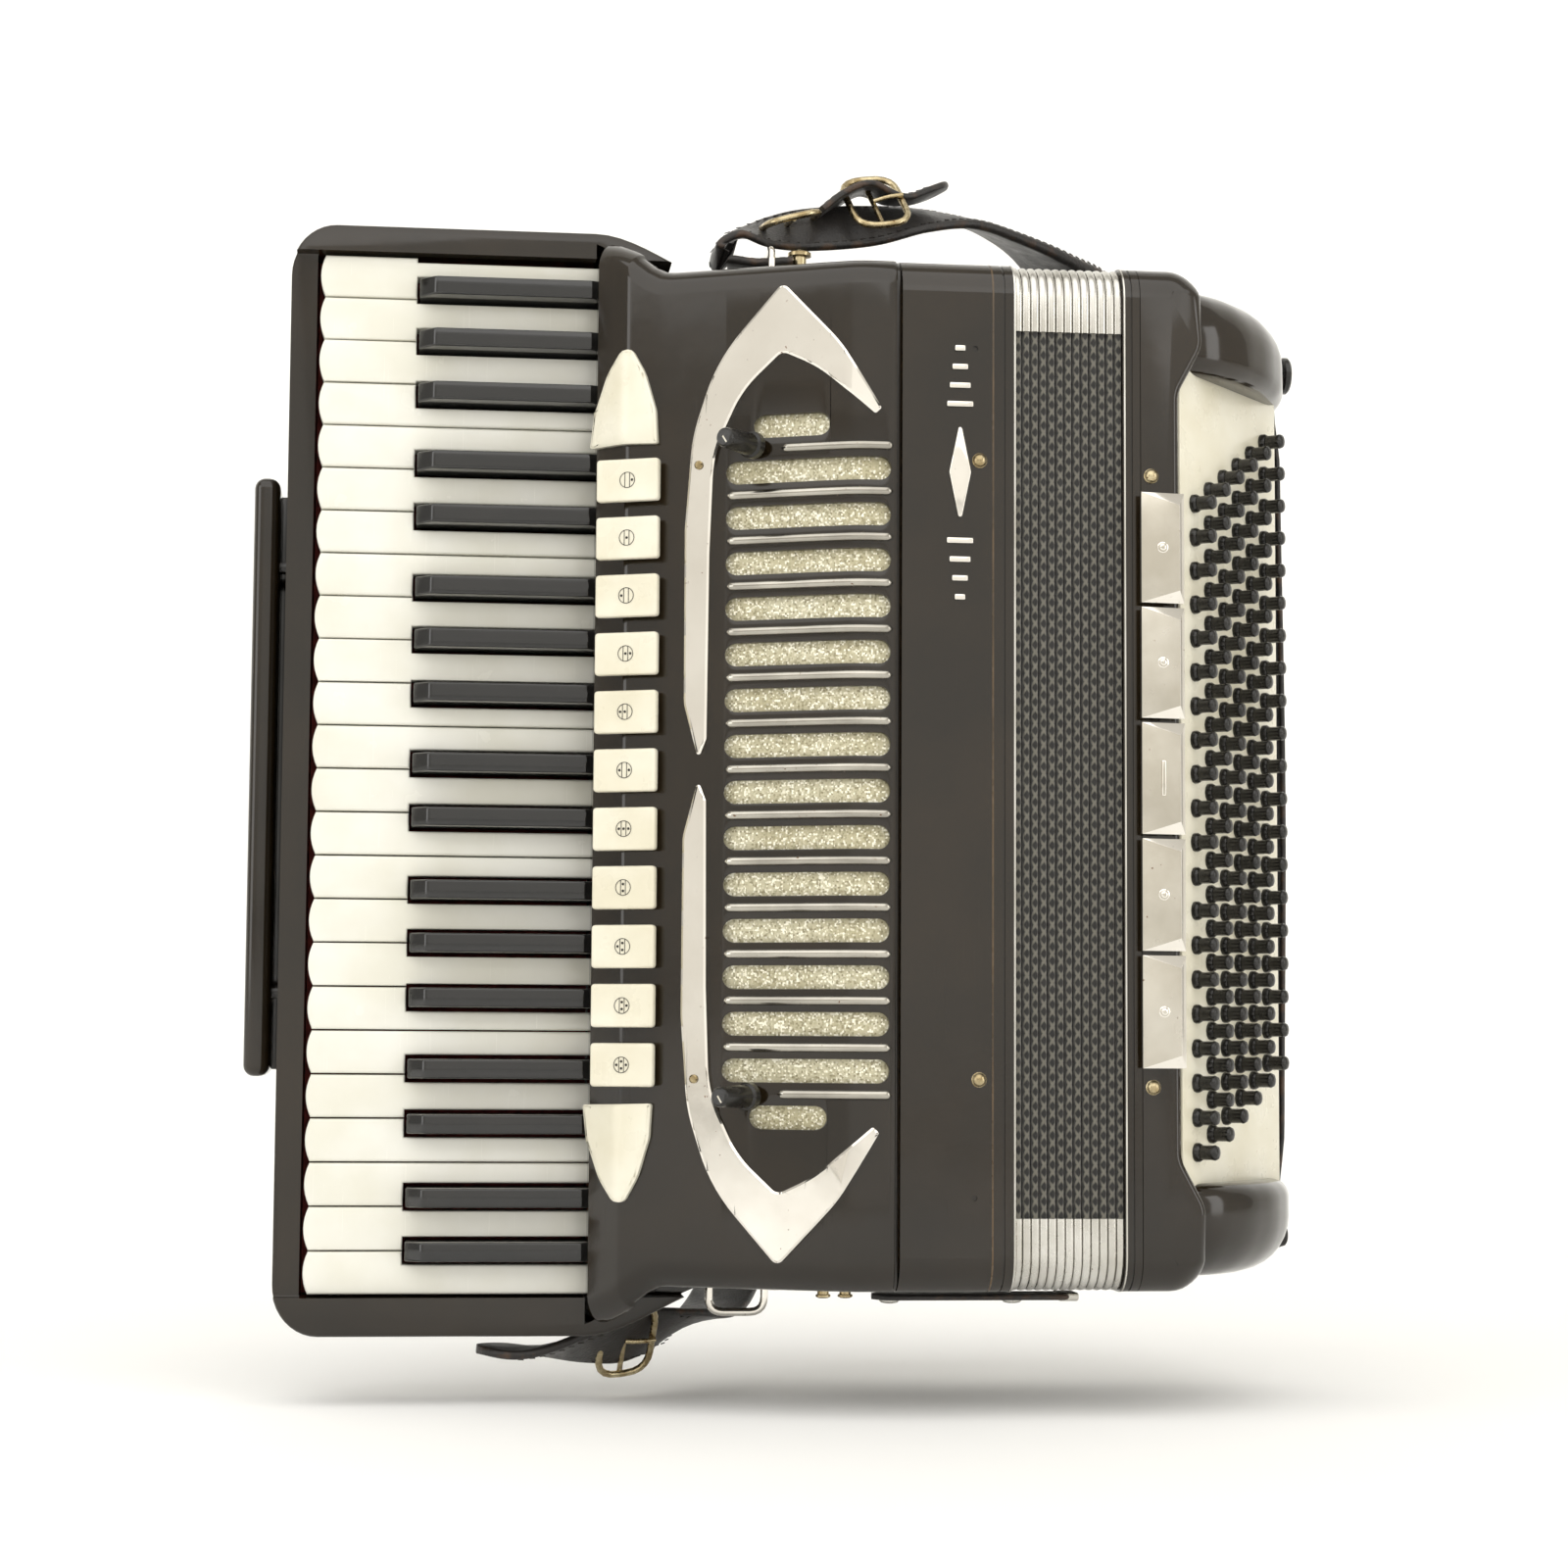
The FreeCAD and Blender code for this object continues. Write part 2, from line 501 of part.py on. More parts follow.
def register_tab(z):
    half = TAB_WIDTH / 2
    plate = shelf_prism(18 - TAB_LENGTH, 18, TAB_LIFT, TAB_LIFT + TAB_THICK, z - half, z + half)
    plate = plate.makeFillet(1.2, plate.Edges)
    lug = shelf_prism(10.5, 13.5, -8.0, TAB_LIFT + 0.5, z - 2.5, z + 2.5)
    hole = rod(1.05, (*shelf_point(12, -6), z - 4), (*shelf_point(12, -6), z + 4))
    return plate.fuse(lug).cut(hole)


def bass_register(z):
    half = PLATE_LENGTH / 2
    section = [(100.4, -193.6), (119.5, -193.6), (120.6, -194.6), (120.6, -196.0), (118.5, -196.8),
               (103.0, -195.8), (100.4, -195.0)]
    plate = prism_z(section, z - half, z + half)
    stems = [rod(2.0, (110.0, -194.0, z + dz), (110.0, -DEPTH + 9, z + dz)) for dz in (-14.0, 14.0)]
    mark = rod(1.8, (109.5, -196.0, z), (109.5, -197.2, z))
    return plate.fuse(stems + [mark])


def bass_button(along, z):
    """A cap with a waist above its flange, on a stem through the board."""
    start = V(*board_point(along, -9.0), z)
    axis = (V(*board_point(along, 1.0), z) - start).normalize()
    outline = [(0, 0), (STEM_R, 0), (STEM_R, 13.6), (2.7, 13.8), (2.7, 15.4), (BUTTON_R, 16.0),
               (BUTTON_R, 18.8), (3.1, 19.7), (1.6, 20.1), (0, 20.2)]
    wire = Part.makePolygon([V(r, 0, h) for r, h in outline + outline[:1]])
    shape = Part.Face(wire).revolve(V(0, 0, 0), V(0, 0, 1), 360)
    shape.Placement = FreeCAD.Placement(start, FreeCAD.Rotation(V(0, 0, 1), axis))
    return shape


def bass_row(column):
    return Part.makeCompound([bass_button(a, z) for c, a, z in button_places() if c == column])


def strap_wheel():
    wheel = rod(11.0, (WHEEL_X, WHEEL_Y, CASE_HALF + 0.6), (WHEEL_X, WHEEL_Y, CASE_HALF + 7.6))
    grooves = []
    for i in range(24):
        a = math.radians(15 * i)
        x, y = WHEEL_X + 11.2 * math.cos(a), WHEEL_Y + 11.2 * math.sin(a)
        grooves.append(rod(0.9, (x, y, CASE_HALF), (x, y, CASE_HALF + 9)))
    shaft = rod(3.0, (WHEEL_X, WHEEL_Y, CASE_HALF - 9.5), (WHEEL_X, WHEEL_Y, CASE_HALF + 1))
    return wheel.cut(grooves).fuse(shaft)


def air_button():
    cap = rod(9.0, (BASS_RIGHT + 4.0, AIR_Y, AIR_Z), (BASS_RIGHT + 8.0, AIR_Y, AIR_Z))
    cap = cap.makeFillet(1.4, edges_near(cap, lambda c: c.x > BASS_RIGHT + 7.5))
    return cap.fuse(rod(3.0, (BASS_RIGHT - 9.0, AIR_Y, AIR_Z), (BASS_RIGHT + 4.5, AIR_Y, AIR_Z)))


def bellows_strap():
    """The lower closing strap with its stud hole, lying along the bottom of the bellows."""
    y, z = -150.0, -CASE_HALF
    post = rod(2.0, (-6.0, y, z - 5.6), (-6.0, y, z - 0.4))
    band = prism_y([(-14, z - 2.2), (20, z - 5.4), (60, z - 4.0), (79, z - 4.2), (79, z - 7.0), (60, z - 6.8),
                    (20, z - 8.4), (-14, z - 5.2)], y - 11, y + 11)
    stud = rod(6.5, (50.0, y, z - 9.2), (50.0, y, z - 6.6))
    return band.fuse([post, stud])


def note_names():
    """Every white key's index, name and top edge, from the lowest note at the top."""
    return [(i, WHITE_NAMES[i % 7], KEY_TOP_Z - WHITE_PITCH * i) for i in range(WHITE_COUNT)]


def sharp_centre(i):
    """Z of the black key that follows a white key, or nothing."""
    if not 0 <= i < WHITE_COUNT - 1 or WHITE_NAMES[i % 7] not in SHARP_SHIFT:
        return None
    return KEY_TOP_Z - WHITE_PITCH * (i + 1) + SHARP_SHIFT[WHITE_NAMES[i % 7]]


def key_action(z_key, pallet_y):
    """The lever from a key's rear end to its pallet over the soundboard."""
    z_key = max(-233.0, min(233.0, z_key))
    z = PALLET_SQUEEZE * z_key
    lever = prism_y([(-118.2, z_key - 1.2), (-118.2, z_key + 1.2), (-33.0, z + 1.2), (-33.0, z - 1.2)],
                    -107.5, -104.0)
    arm = box(-34.0, -31.0, pallet_y - 3, -104.0, z - 1.2, z + 1.2)
    stem = box(-31.5, -19.5, pallet_y - 2, pallet_y + 2, z - 1.2, z + 1.2)
    pallet = box(-20.0, -13.4, pallet_y - 9, pallet_y + 9, z - 4.2, z + 4.2)
    return lever.fuse([arm, stem, pallet])


def axle_bore(shape, z):
    """Bore a key for its axle."""
    return shape.cut(rod(AXLE_R + BORE_PLAY, (AXLE_X, AXLE_Y, z - 30), (AXLE_X, AXLE_Y, z + 30)))


def white_key(i, top):
    low = top - WHITE_PITCH + KEY_PLAY / 2
    high = top - KEY_PLAY / 2
    above, below = sharp_centre(i - 1), sharp_centre(i)
    rear_high = min(high, 240.0) if above is None else above - NOTCH
    rear_low = low if below is None else below + NOTCH
    outline = [(KEY_FRONT + 1.4, low), (KEY_FRONT + 0.3, low + 5), (KEY_FRONT, (low + high) / 2),
               (KEY_FRONT + 0.3, high - 5), (KEY_FRONT + 1.4, high)]
    start = BLACK_FRONT - 1.2
    outline += [(start, high), (start, rear_high), (KEY_BACK, rear_high), (KEY_BACK, rear_low),
                (start, rear_low), (start, low)]
    body = prism_y(outline, WHITE_FACE, WHITE_UNDER)
    hub = box(AXLE_X - 7, KEY_BACK, WHITE_UNDER, -98.5, rear_low, rear_high)
    middle = (rear_low + rear_high) / 2
    return axle_bore(body.fuse(hub), middle).fuse(key_action(middle, -138.0))


def black_key(z):
    half = BLACK_WIDTH / 2
    side = [(BLACK_FRONT, WHITE_UNDER), (BLACK_FRONT, WHITE_FACE - 2), (BLACK_FRONT + 2, -119.5),
            (BLACK_FRONT + 7, -126.3), (BLACK_FRONT + 9.5, BLACK_FACE), (-144.0, BLACK_FACE),
            (-141.0, -126.0), (KEY_BACK, -122.0), (KEY_BACK, -98.5), (AXLE_X - 7, -98.5),
            (AXLE_X - 7, WHITE_UNDER)]
    return axle_bore(prism_z(side, z - half, z + half), z).fuse(key_action(z, -162.0))


def key_groups():
    """All keys, grouped by the name of their note."""
    groups = {}
    for i, name, top in note_names():
        groups.setdefault("keys_" + name.lower(), []).append(white_key(i, top))
        if sharp_centre(i) is not None:
            groups.setdefault("keys_" + name.lower() + "_sharp", []).append(black_key(sharp_centre(i)))
    return {name: Part.makeCompound(keys) for name, keys in groups.items()}


def all_parts():
    parts = {
        "treble_casing": treble_casing(), "keyboard_body": keyboard_body(), "grille_cover": grille_cover(),
        "grille_cloth": grille_cloth(), "grille_chrome": grille_chrome(),
        "register_end_caps": register_end_caps(), "key_and_register_axles": axles(),
        "treble_soundboard": treble_soundboard(), "treble_reed_blocks": treble_reed_blocks(),
        "treble_bellows_frame": bellows_frame(TREBLE_RIGHT + 0.3, TREBLE_RIGHT + 0.3 + FRAME + 2),
        "bellows": bellows(), "treble_fittings": treble_fittings(), "shoulder_strap": shoulder_strap(),
        "strap_buckles": strap_buckles(),
        "bass_bellows_frame": bellows_frame(93.6, 93.6 + FRAME), "bass_casing": bass_casing(),
        "button_board": button_board(), "bass_reed_blocks": bass_reed_blocks(),
        "bass_strap": bass_strap(), "bass_fittings": bass_fittings(),
        "palm_bar": palm_bar(), "upper_knob": control_knob(1), "lower_knob": control_knob(-1),
        "strap_wheel": strap_wheel(), "air_button": air_button(), "bellows_strap": bellows_strap(),
    }
    for i, z in enumerate(tab_heights()):
        parts["register_tab_%02d" % (i + 1)] = register_tab(z)
    for i, z in enumerate(plate_heights()):
        parts["bass_register_%d" % (i + 1)] = bass_register(z)
    for column in range(COLUMNS):
        parts["bass_buttons_%d" % (column + 1)] = bass_row(column)
    parts.update(key_groups())
    return parts


def main():
    os.makedirs("parts", exist_ok=True)
    for name, shape in all_parts().items():
        shape.exportStep("parts/" + name + ".step")
        print(name, len(shape.Solids), round(shape.Volume), shape.isValid())


main()
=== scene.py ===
"""A vintage piano accordion: the looks of every piece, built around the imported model."""
import json
import logging
import math
from dataclasses import dataclass, field
from enum import Enum
from functools import lru_cache
from typing import Sequence

import bmesh
import bpy
from mathutils import Matrix, Vector


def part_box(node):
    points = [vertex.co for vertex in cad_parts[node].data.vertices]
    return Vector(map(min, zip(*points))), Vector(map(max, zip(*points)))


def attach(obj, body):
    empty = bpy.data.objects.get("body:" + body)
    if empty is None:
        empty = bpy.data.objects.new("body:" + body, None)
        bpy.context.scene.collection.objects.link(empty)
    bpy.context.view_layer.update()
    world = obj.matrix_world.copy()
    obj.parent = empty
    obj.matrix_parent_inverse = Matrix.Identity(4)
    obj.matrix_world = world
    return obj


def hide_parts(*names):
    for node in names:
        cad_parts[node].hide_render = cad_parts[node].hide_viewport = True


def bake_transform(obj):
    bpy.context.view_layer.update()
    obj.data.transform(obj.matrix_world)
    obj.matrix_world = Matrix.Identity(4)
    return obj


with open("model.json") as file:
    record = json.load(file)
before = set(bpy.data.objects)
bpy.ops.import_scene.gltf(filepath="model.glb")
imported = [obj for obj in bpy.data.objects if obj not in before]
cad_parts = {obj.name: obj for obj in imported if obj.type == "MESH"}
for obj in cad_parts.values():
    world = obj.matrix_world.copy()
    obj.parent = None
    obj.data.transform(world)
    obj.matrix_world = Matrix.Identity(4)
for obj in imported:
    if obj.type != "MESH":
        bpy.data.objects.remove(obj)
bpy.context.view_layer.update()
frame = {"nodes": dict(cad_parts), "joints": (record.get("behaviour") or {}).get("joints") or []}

MM = 0.001
LOG = logging.getLogger("accordion")
Point = tuple[float, float]
Path = list[Point]
Form = bmesh.types.BMesh
Face = bmesh.types.BMFace
Edge = bmesh.types.BMEdge
Vert = bmesh.types.BMVert
Socket = bpy.types.NodeSocket
Tree = bpy.types.NodeTree
UP = Vector((0, 0, 1)).freeze()


# ------------------------------------------------------------------ colours and nodes
def linear(code: str) -> tuple[float, float, float, float]:
    """Turn an sRGB hex colour to linear.

    Args:
        code: six hex digits after a hash.

    Returns:
        Linear red, green, blue and an alpha of one.
    """
    parts = [int(code[i:i + 2], 16) / 255 for i in (1, 3, 5)]
    rgb = [c / 12.92 if c <= 0.04045 else ((c + 0.055) / 1.055) ** 2.4 for c in parts]
    return rgb[0], rgb[1], rgb[2], 1.0


def add_node(tree: Tree, kind: str, settings: dict | None = None,
             links: dict | None = None) -> bpy.types.Node:
    """Add a node with its settings and links.

    Args:
        tree: the node tree.
        kind: Blender's name for the node.
        settings: values for input sockets, by name or number, or for properties.
        links: output sockets to link to inputs, by name or number.

    Returns:
        The new node.
    """
    node = tree.nodes.new(kind)
    for key, value in (settings or {}).items():
        if isinstance(key, str) and key not in node.inputs:
            setattr(node, key, value)
    for key, value in (settings or {}).items():
        if isinstance(key, int) or key in node.inputs:
            node.inputs[key].default_value = value
    for key, socket in (links or {}).items():
        tree.links.new(socket, node.inputs[key])
    return node


class Blend(Enum):
    """Sockets of a colour Mix node."""
    A = 6
    B = 7
    RESULT = 2


def mix(tree: Tree, factor: Socket, a: object, b: object) -> Socket:
    """Mix two colours, each given as a socket or as a hex code, and return the result's socket."""
    settings: dict = {"data_type": "RGBA"}
    links: dict = {0: factor}
    for place, colour in ((Blend.A, a), (Blend.B, b)):
        if isinstance(colour, str):
            settings[place.value] = linear(colour)
        else:
            links[place.value] = colour
    return add_node(tree, "ShaderNodeMix", settings, links).outputs[Blend.RESULT.value]


@dataclass(frozen=True)
class Pattern:
    """What a finish's pattern feeds to the shader."""
    colour: Socket
    rough: Socket
    height: Socket


@dataclass(frozen=True)
class Finish:
    """A surface: patches of two close colours, uneven gloss, and a fine grain."""
    name: str
    slot: str
    light: str
    dark: str
    rough: float = 0.25
    rough_spread: float = 0.08
    patch_mm: float = 25.0
    grain_mm: float = 1.5
    grain_depth_mm: float = 0.01
    metallic: float = 0.0
    ior: float = 1.5
    coat: float = 0.0
    sheen: float = 0.0

    def noise(self, tree: Tree, place: Socket, size_mm: float,
              low: float = 0.35, high: float = 0.65, detail: float = 4.0) -> Socket:
        """Noise of a real size, stretched between 0 and 1."""
        noise = add_node(tree, "ShaderNodeTexNoise", {"Scale": 1000 / size_mm, "Detail": detail},
                         {"Vector": place})
        return add_node(tree, "ShaderNodeMapRange", {"From Min": low, "From Max": high},
                        {"Value": noise.outputs["Fac"]}).outputs["Result"]

    def scaled(self, tree: Tree, value: Socket, low: float, high: float) -> Socket:
        """A 0 to 1 value brought between two others."""
        return add_node(tree, "ShaderNodeMapRange", {"To Min": low, "To Max": high},
                        {"Value": value}).outputs["Result"]

    def pattern(self, tree: Tree, place: Socket, uv: Socket) -> Pattern:
        """The plain pattern; other finishes build on it."""
        patches = self.noise(tree, place, self.patch_mm)
        smudges = self.noise(tree, place, self.patch_mm * 0.37, 0.3, 0.7)
        grain = self.noise(tree, place, self.grain_mm, 0.0, 1.0)
        return Pattern(mix(tree, patches, self.light, self.dark),
                       self.scaled(tree, smudges, self.rough - self.rough_spread / 2,
                                   self.rough + self.rough_spread), grain)

    def material(self) -> bpy.types.Material:
        """Make the material once, and return it again for each later piece."""
        known = bpy.data.materials.get(self.name)
        if known is not None:
            return known
        made = bpy.data.materials.new(self.name)
        made.use_nodes = True
        tree = made.node_tree
        shader = tree.nodes["Principled BSDF"]
        coords = add_node(tree, "ShaderNodeTexCoord")
        pattern = self.pattern(tree, coords.outputs["Object"], coords.outputs["UV"])
        bump = add_node(tree, "ShaderNodeBump", {"Distance": self.grain_depth_mm * MM},
                        {"Height": pattern.height})
        tree.links.new(pattern.colour, shader.inputs["Base Color"])
        tree.links.new(pattern.rough, shader.inputs["Roughness"])
        tree.links.new(bump.outputs["Normal"], shader.inputs["Normal"])
        shader.inputs["Metallic"].default_value = self.metallic
        if not self.metallic:
            shader.inputs["IOR"].default_value = self.ior
        shader.inputs["Coat Weight"].default_value = self.coat
        shader.inputs["Coat Roughness"].default_value = 0.06
        shader.inputs["Sheen Weight"].default_value = self.sheen
        made.diffuse_color = linear(self.light)
        return made


@dataclass(frozen=True)
class Celluloid(Finish):
    """Polished sheet celluloid: deep gloss with hairline scratches and handling haze."""
    scratch: float = 0.25

    def pattern(self, tree: Tree, place: Socket, uv: Socket) -> Pattern:
        """Add hairlines, which are drawn about a tenth of a millimetre wide, to the plain pattern."""
        plain = super().pattern(tree, place, uv)
        turned = add_node(tree, "ShaderNodeMapping", {"Rotation": (0.3, 0.5, 0.9), "Scale": (1.0, 1.0, 0.02)},
                          {"Vector": place})
        hair = self.noise(tree, turned.outputs["Vector"], 0.9, 0.66, 0.74, 2.0)
        rough = add_node(tree, "ShaderNodeMath", {"operation": "MULTIPLY_ADD", 1: self.scratch * 0.4},
                         {0: hair, 2: plain.rough})
        return Pattern(plain.colour, rough.outputs["Value"], plain.height)


@dataclass(frozen=True)
class Plated(Finish):
    """Polished plate on brass: pits with a dark halo, and a few rusty specks."""
    rust: str = "#6a4a2c"
    pits: float = 0.66

    def pattern(self, tree: Tree, place: Socket, uv: Socket) -> Pattern:
        """Add pits of about a millimetre to the plain pattern."""
        plain = super().pattern(tree, place, uv)
        pit = self.noise(tree, place, 2.2, self.pits, self.pits + 0.05, 6.0)
        colour = mix(tree, pit, plain.colour, self.rust)
        rough = add_node(tree, "ShaderNodeMath", {"operation": "MULTIPLY_ADD", 1: 0.4},
                         {0: pit, 2: plain.rough})
        return Pattern(colour, rough.outputs["Value"], plain.height)


@dataclass(frozen=True)
class GlitterCloth(Finish):
    """Plain weave with metal threads: fine squares, some given a painted glint where they would catch the
    light.
    """
    thread_mm: float = 0.85
    # painted glint: the near-white colour given to the few crossings that stand in for catching the light
    painted_glint: str = "#fffbe8"

    def pattern(self, tree: Tree, place: Socket, uv: Socket) -> Pattern:
        """A weave coarse enough to show: a painted glint on some crossings and a darker tone on others, chosen
        at random.
        """
        plain = super().pattern(tree, place, uv)
        cells = add_node(tree, "ShaderNodeTexVoronoi", {"Scale": 1000 / self.thread_mm, "Randomness": 0.55},
                         {"Vector": place})
        bright = add_node(tree, "ShaderNodeSeparateColor", {}, {0: cells.outputs["Color"]})
        # painted glint mask: the brightest random crossings are painted near-white and made glossier
        glint_mask = add_node(tree, "ShaderNodeMapRange", {"From Min": 0.72, "From Max": 0.9},
                         {"Value": bright.outputs[0]}).outputs["Result"]
        shade = add_node(tree, "ShaderNodeMapRange", {"From Min": 0.0, "From Max": 0.45, "To Min": 1.0,
                                                      "To Max": 0.0}, {"Value": bright.outputs[1]})
        worn = mix(tree, shade.outputs["Result"], plain.colour, "#8d8566")
        return Pattern(mix(tree, glint_mask, worn, self.painted_glint), self.scaled(tree, glint_mask, 0.55, 0.15),
                       cells.outputs["Distance"])


@dataclass(frozen=True)
class FoldCloth(Finish):
    """Pleated cloth with a printed diamond lattice, laid out on the piece's own UV in millimetres."""
    diamond_mm: float = 4.0
    line: str = "#625f56"

    def pattern(self, tree: Tree, place: Socket, uv: Socket) -> Pattern:
        """Two sets of slanted threads that cross in diamonds."""
        plain = super().pattern(tree, place, uv)
        lines = []
        for turn in (0.9, -0.9):
            turned = add_node(tree, "ShaderNodeMapping", {"Rotation": (0.0, 0.0, turn)}, {"Vector": uv})
            wave = add_node(tree, "ShaderNodeTexWave",
                            {"Scale": math.pi / 10 / self.diamond_mm, "Distortion": 0.3},
                            {"Vector": turned.outputs["Vector"]})
            lines.append(wave.outputs["Fac"])
        crossing = add_node(tree, "ShaderNodeMath", {"operation": "MAXIMUM"}, {0: lines[0], 1: lines[1]})
        line = add_node(tree, "ShaderNodeMapRange", {"From Min": 0.62, "From Max": 0.92},
                        {"Value": crossing.outputs["Value"]}).outputs["Result"]
        return Pattern(mix(tree, line, plain.colour, self.line), plain.rough, line)


@dataclass(frozen=True)
class Leather(Finish):
    """Finished hide: a pebble grain, and edges rubbed to brown, read from the UV across the strap."""
    worn: str = "#4a3422"

    def pattern(self, tree: Tree, place: Socket, uv: Socket) -> Pattern:
        """Pebbles of about a millimetre with worn edges and rubbed patches."""
        plain = super().pattern(tree, place, uv)
        pebbles = add_node(tree, "ShaderNodeTexVoronoi", {"Scale": 1000 / 1.1, "feature": "SMOOTH_F1"},
                           {"Vector": place})
        across = add_node(tree, "ShaderNodeSeparateXYZ", {}, {0: uv}).outputs[0]
        off = add_node(tree, "ShaderNodeMath", {"operation": "SUBTRACT", 1: 0.5}, {0: across})
        edge = add_node(tree, "ShaderNodeMath", {"operation": "ABSOLUTE"}, {0: off.outputs["Value"]})
        ragged = add_node(tree, "ShaderNodeMath", {"operation": "MULTIPLY_ADD", 1: 0.14},
                          {0: self.noise(tree, place, 9.0), 2: edge.outputs["Value"]})
        rubbed = add_node(tree, "ShaderNodeMapRange", {"From Min": 0.56, "From Max": 0.66},
                          {"Value": ragged.outputs["Value"]}).outputs["Result"]
        return Pattern(mix(tree, rubbed, plain.colour, self.worn), plain.rough, pebbles.outputs["Distance"])


@dataclass(frozen=True)
class Softwood(Finish):
    """Planed spruce: growth rings drawn out along Z."""

    def pattern(self, tree: Tree, place: Socket, uv: Socket) -> Pattern:
        """Rings about four millimetres apart."""
        drawn = add_node(tree, "ShaderNodeMapping", {"Scale": (1.0, 1.0, 0.05)}, {"Vector": place})
        return super().pattern(tree, drawn.outputs["Vector"], uv)


BLACK = Celluloid("black celluloid, polished", "black_celluloid", "#241c11", "#1b150c", 0.11, 0.05, 60.0,
                  30.0, 0.12, coat=0.1)
IVORY = Celluloid("ivory celluloid, polished", "ivory_celluloid", "#e6e5dd", "#dcdacd", 0.2, 0.08, 45.0,
                  12.0, 0.03, coat=0.3)
CREAM = Celluloid("cream casein, moulded", "cream_plastic", "#e5e1d0", "#d9d3bd", 0.28, 0.1, 35.0, 8.0, 0.03,
                  coat=0.2)
KEY_BLACK = Celluloid("black key celluloid, polished", "black_key_plastic", "#0f0f0f", "#161514", 0.14, 0.06,
                      30.0, 10.0, 0.02, coat=0.4)
BUTTON = Finish("black casein, turned and polished", "black_button_plastic", "#141311", "#1f1d1a", 0.22, 0.1,
                12.0, 3.0, 0.01)
CHROME = Plated("chromium plate, polished", "chrome", "#f0ece4", "#e6e1d8", 0.07, 0.07, 40.0, 9.0, 0.02,
                metallic=1.0, pits=0.70)
SATIN = Plated("chromium plate, rubbed dull", "chrome", "#cfcabf", "#bdb7aa", 0.22, 0.06, 30.0, 9.0, 0.01,
               metallic=1.0, pits=0.71)
WIRE = Plated("chromium plate on wire", "chrome", "#bdb9af", "#9f9b92", 0.13, 0.08, 30.0, 6.0, 0.02,
              metallic=1.0, pits=0.68)
BRASS = Plated("pale brass, worn plate", "brass", "#cdbf9c", "#9c8a66", 0.22, 0.15, 6.0, 2.0, 0.01,
               metallic=1.0, pits=0.66)
NICKEL = Plated("nickel silver, rolled", "brass", "#dad8d2", "#bfbcb4", 0.24, 0.12, 30.0, 4.0, 0.01,
                metallic=1.0, pits=0.72)
STEEL = Finish("steel rod, drawn", "steel", "#b9b9b6", "#8d8d8a", 0.3, 0.1, 8.0, 0.6, 0.01, metallic=1.0)
GLITTER = GlitterCloth("metal-thread cloth, woven", "speaker_cloth", "#cbc5a8", "#b9b190", 0.55, 0.1, 30.0,
                       1.2, 0.15)
FOLDS = FoldCloth("black lining cloth, pleated", "bellows_cloth", "#191816", "#100f0e", 0.75, 0.1, 20.0, 0.6,
                  0.05, sheen=0.3)
LEATHER = Leather("black hide, finished", "black_leather", "#1b1613", "#120f0d", 0.42, 0.12, 20.0, 1.1, 0.18,
                  sheen=0.1)
THREAD = Finish("waxed thread, black", "black_leather", "#2b2622", "#1c1916", 0.6, 0.1, 5.0, 0.6, 0.05)
BLUED = Finish("steel rod, blued", "steel", "#2b2a28", "#3b3835", 0.35, 0.1, 8.0, 0.6, 0.01, metallic=1.0)
LINE = Celluloid("brown celluloid line, inlaid", "black_celluloid", "#574631", "#403322", 0.25, 0.1, 20.0,
                 5.0, 0.01)
SPRUCE = Softwood("spruce, planed", "spruce", "#c39a63", "#a67c48", 0.55, 0.1, 4.0, 1.0, 0.05)
FELT = Finish("felt, pressed", "spruce", "#7d2f2a", "#5f211e", 0.95, 0.05, 5.0, 0.7, 0.2, sheen=0.6)
RUBBER = Finish("rubber, moulded", "brass", "#1d1c1b", "#272522", 0.7, 0.1, 9.0, 0.8, 0.03)
INK = Finish("engraved line, filled", "black_celluloid", "#14110f", "#241f1b", 0.5, 0.1, 3.0, 1.0, 0.01)
WHITE_INK = Finish("engraved line, white filled", "cream_plastic", "#e6e2d6", "#cfc9b8", 0.5, 0.1, 3.0, 1.0,
                   0.01)


# ------------------------------------------------------------------ mesh tools
@lru_cache(maxsize=None)
def corner(name: str, end: int) -> Vector:
    """A CAD node's lowest (0) or highest (1) corner."""
    return Vector(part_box(name)[end]).freeze()


def round_path(corners: Sequence[tuple[float, float, float]], steps: int = 5, closed: bool = False) -> Path:
    """Round an outline's corners with tangent arcs.

    Args:
        corners: each corner's two coordinates and its radius.
        steps: straight pieces in each arc.
        closed: whether the last corner joins the first.

    Returns:
        The points of the rounded outline.
    """
    points: Path = []
    count = len(corners)
    for i, (x, y, radius) in enumerate(corners):
        if radius <= 0 or (not closed and i in (0, count - 1)):
            points.append((x, y))
            continue
        here = Vector((x, y))
        back = Vector(corners[i - 1][:2]) - here
        ahead = Vector(corners[(i + 1) % count][:2]) - here
        half = back.angle(ahead) / 2
        reach = min(radius / math.tan(half), back.length * 0.49, ahead.length * 0.49)
        centre = here + (back.normalized() + ahead.normalized()).normalized() * (reach / math.cos(half))
        start, end = here + back.normalized() * reach - centre, here + ahead.normalized() * reach - centre
        turn = start.angle_signed(end)
        for k in range(steps + 1):
            arm = Matrix.Rotation(-turn * k / steps, 2) @ start
            points.append(tuple(centre + arm))
    return points


def in_mm(points: Sequence[Sequence[float]]) -> list[tuple[float, ...]]:
    """Turn an outline in millimetres to metres."""
    return [tuple(value * MM for value in point) for point in points]


def axes(a: Vector, b: Vector, c: Vector) -> Matrix:
    """The turn that lays X, Y and Z along three directions."""
    return Matrix((a, b, c)).transposed().to_4x4()


def outwards(bm: Form) -> None:
    """Point every face outwards."""
    bmesh.ops.recalc_face_normals(bm, faces=bm.faces)


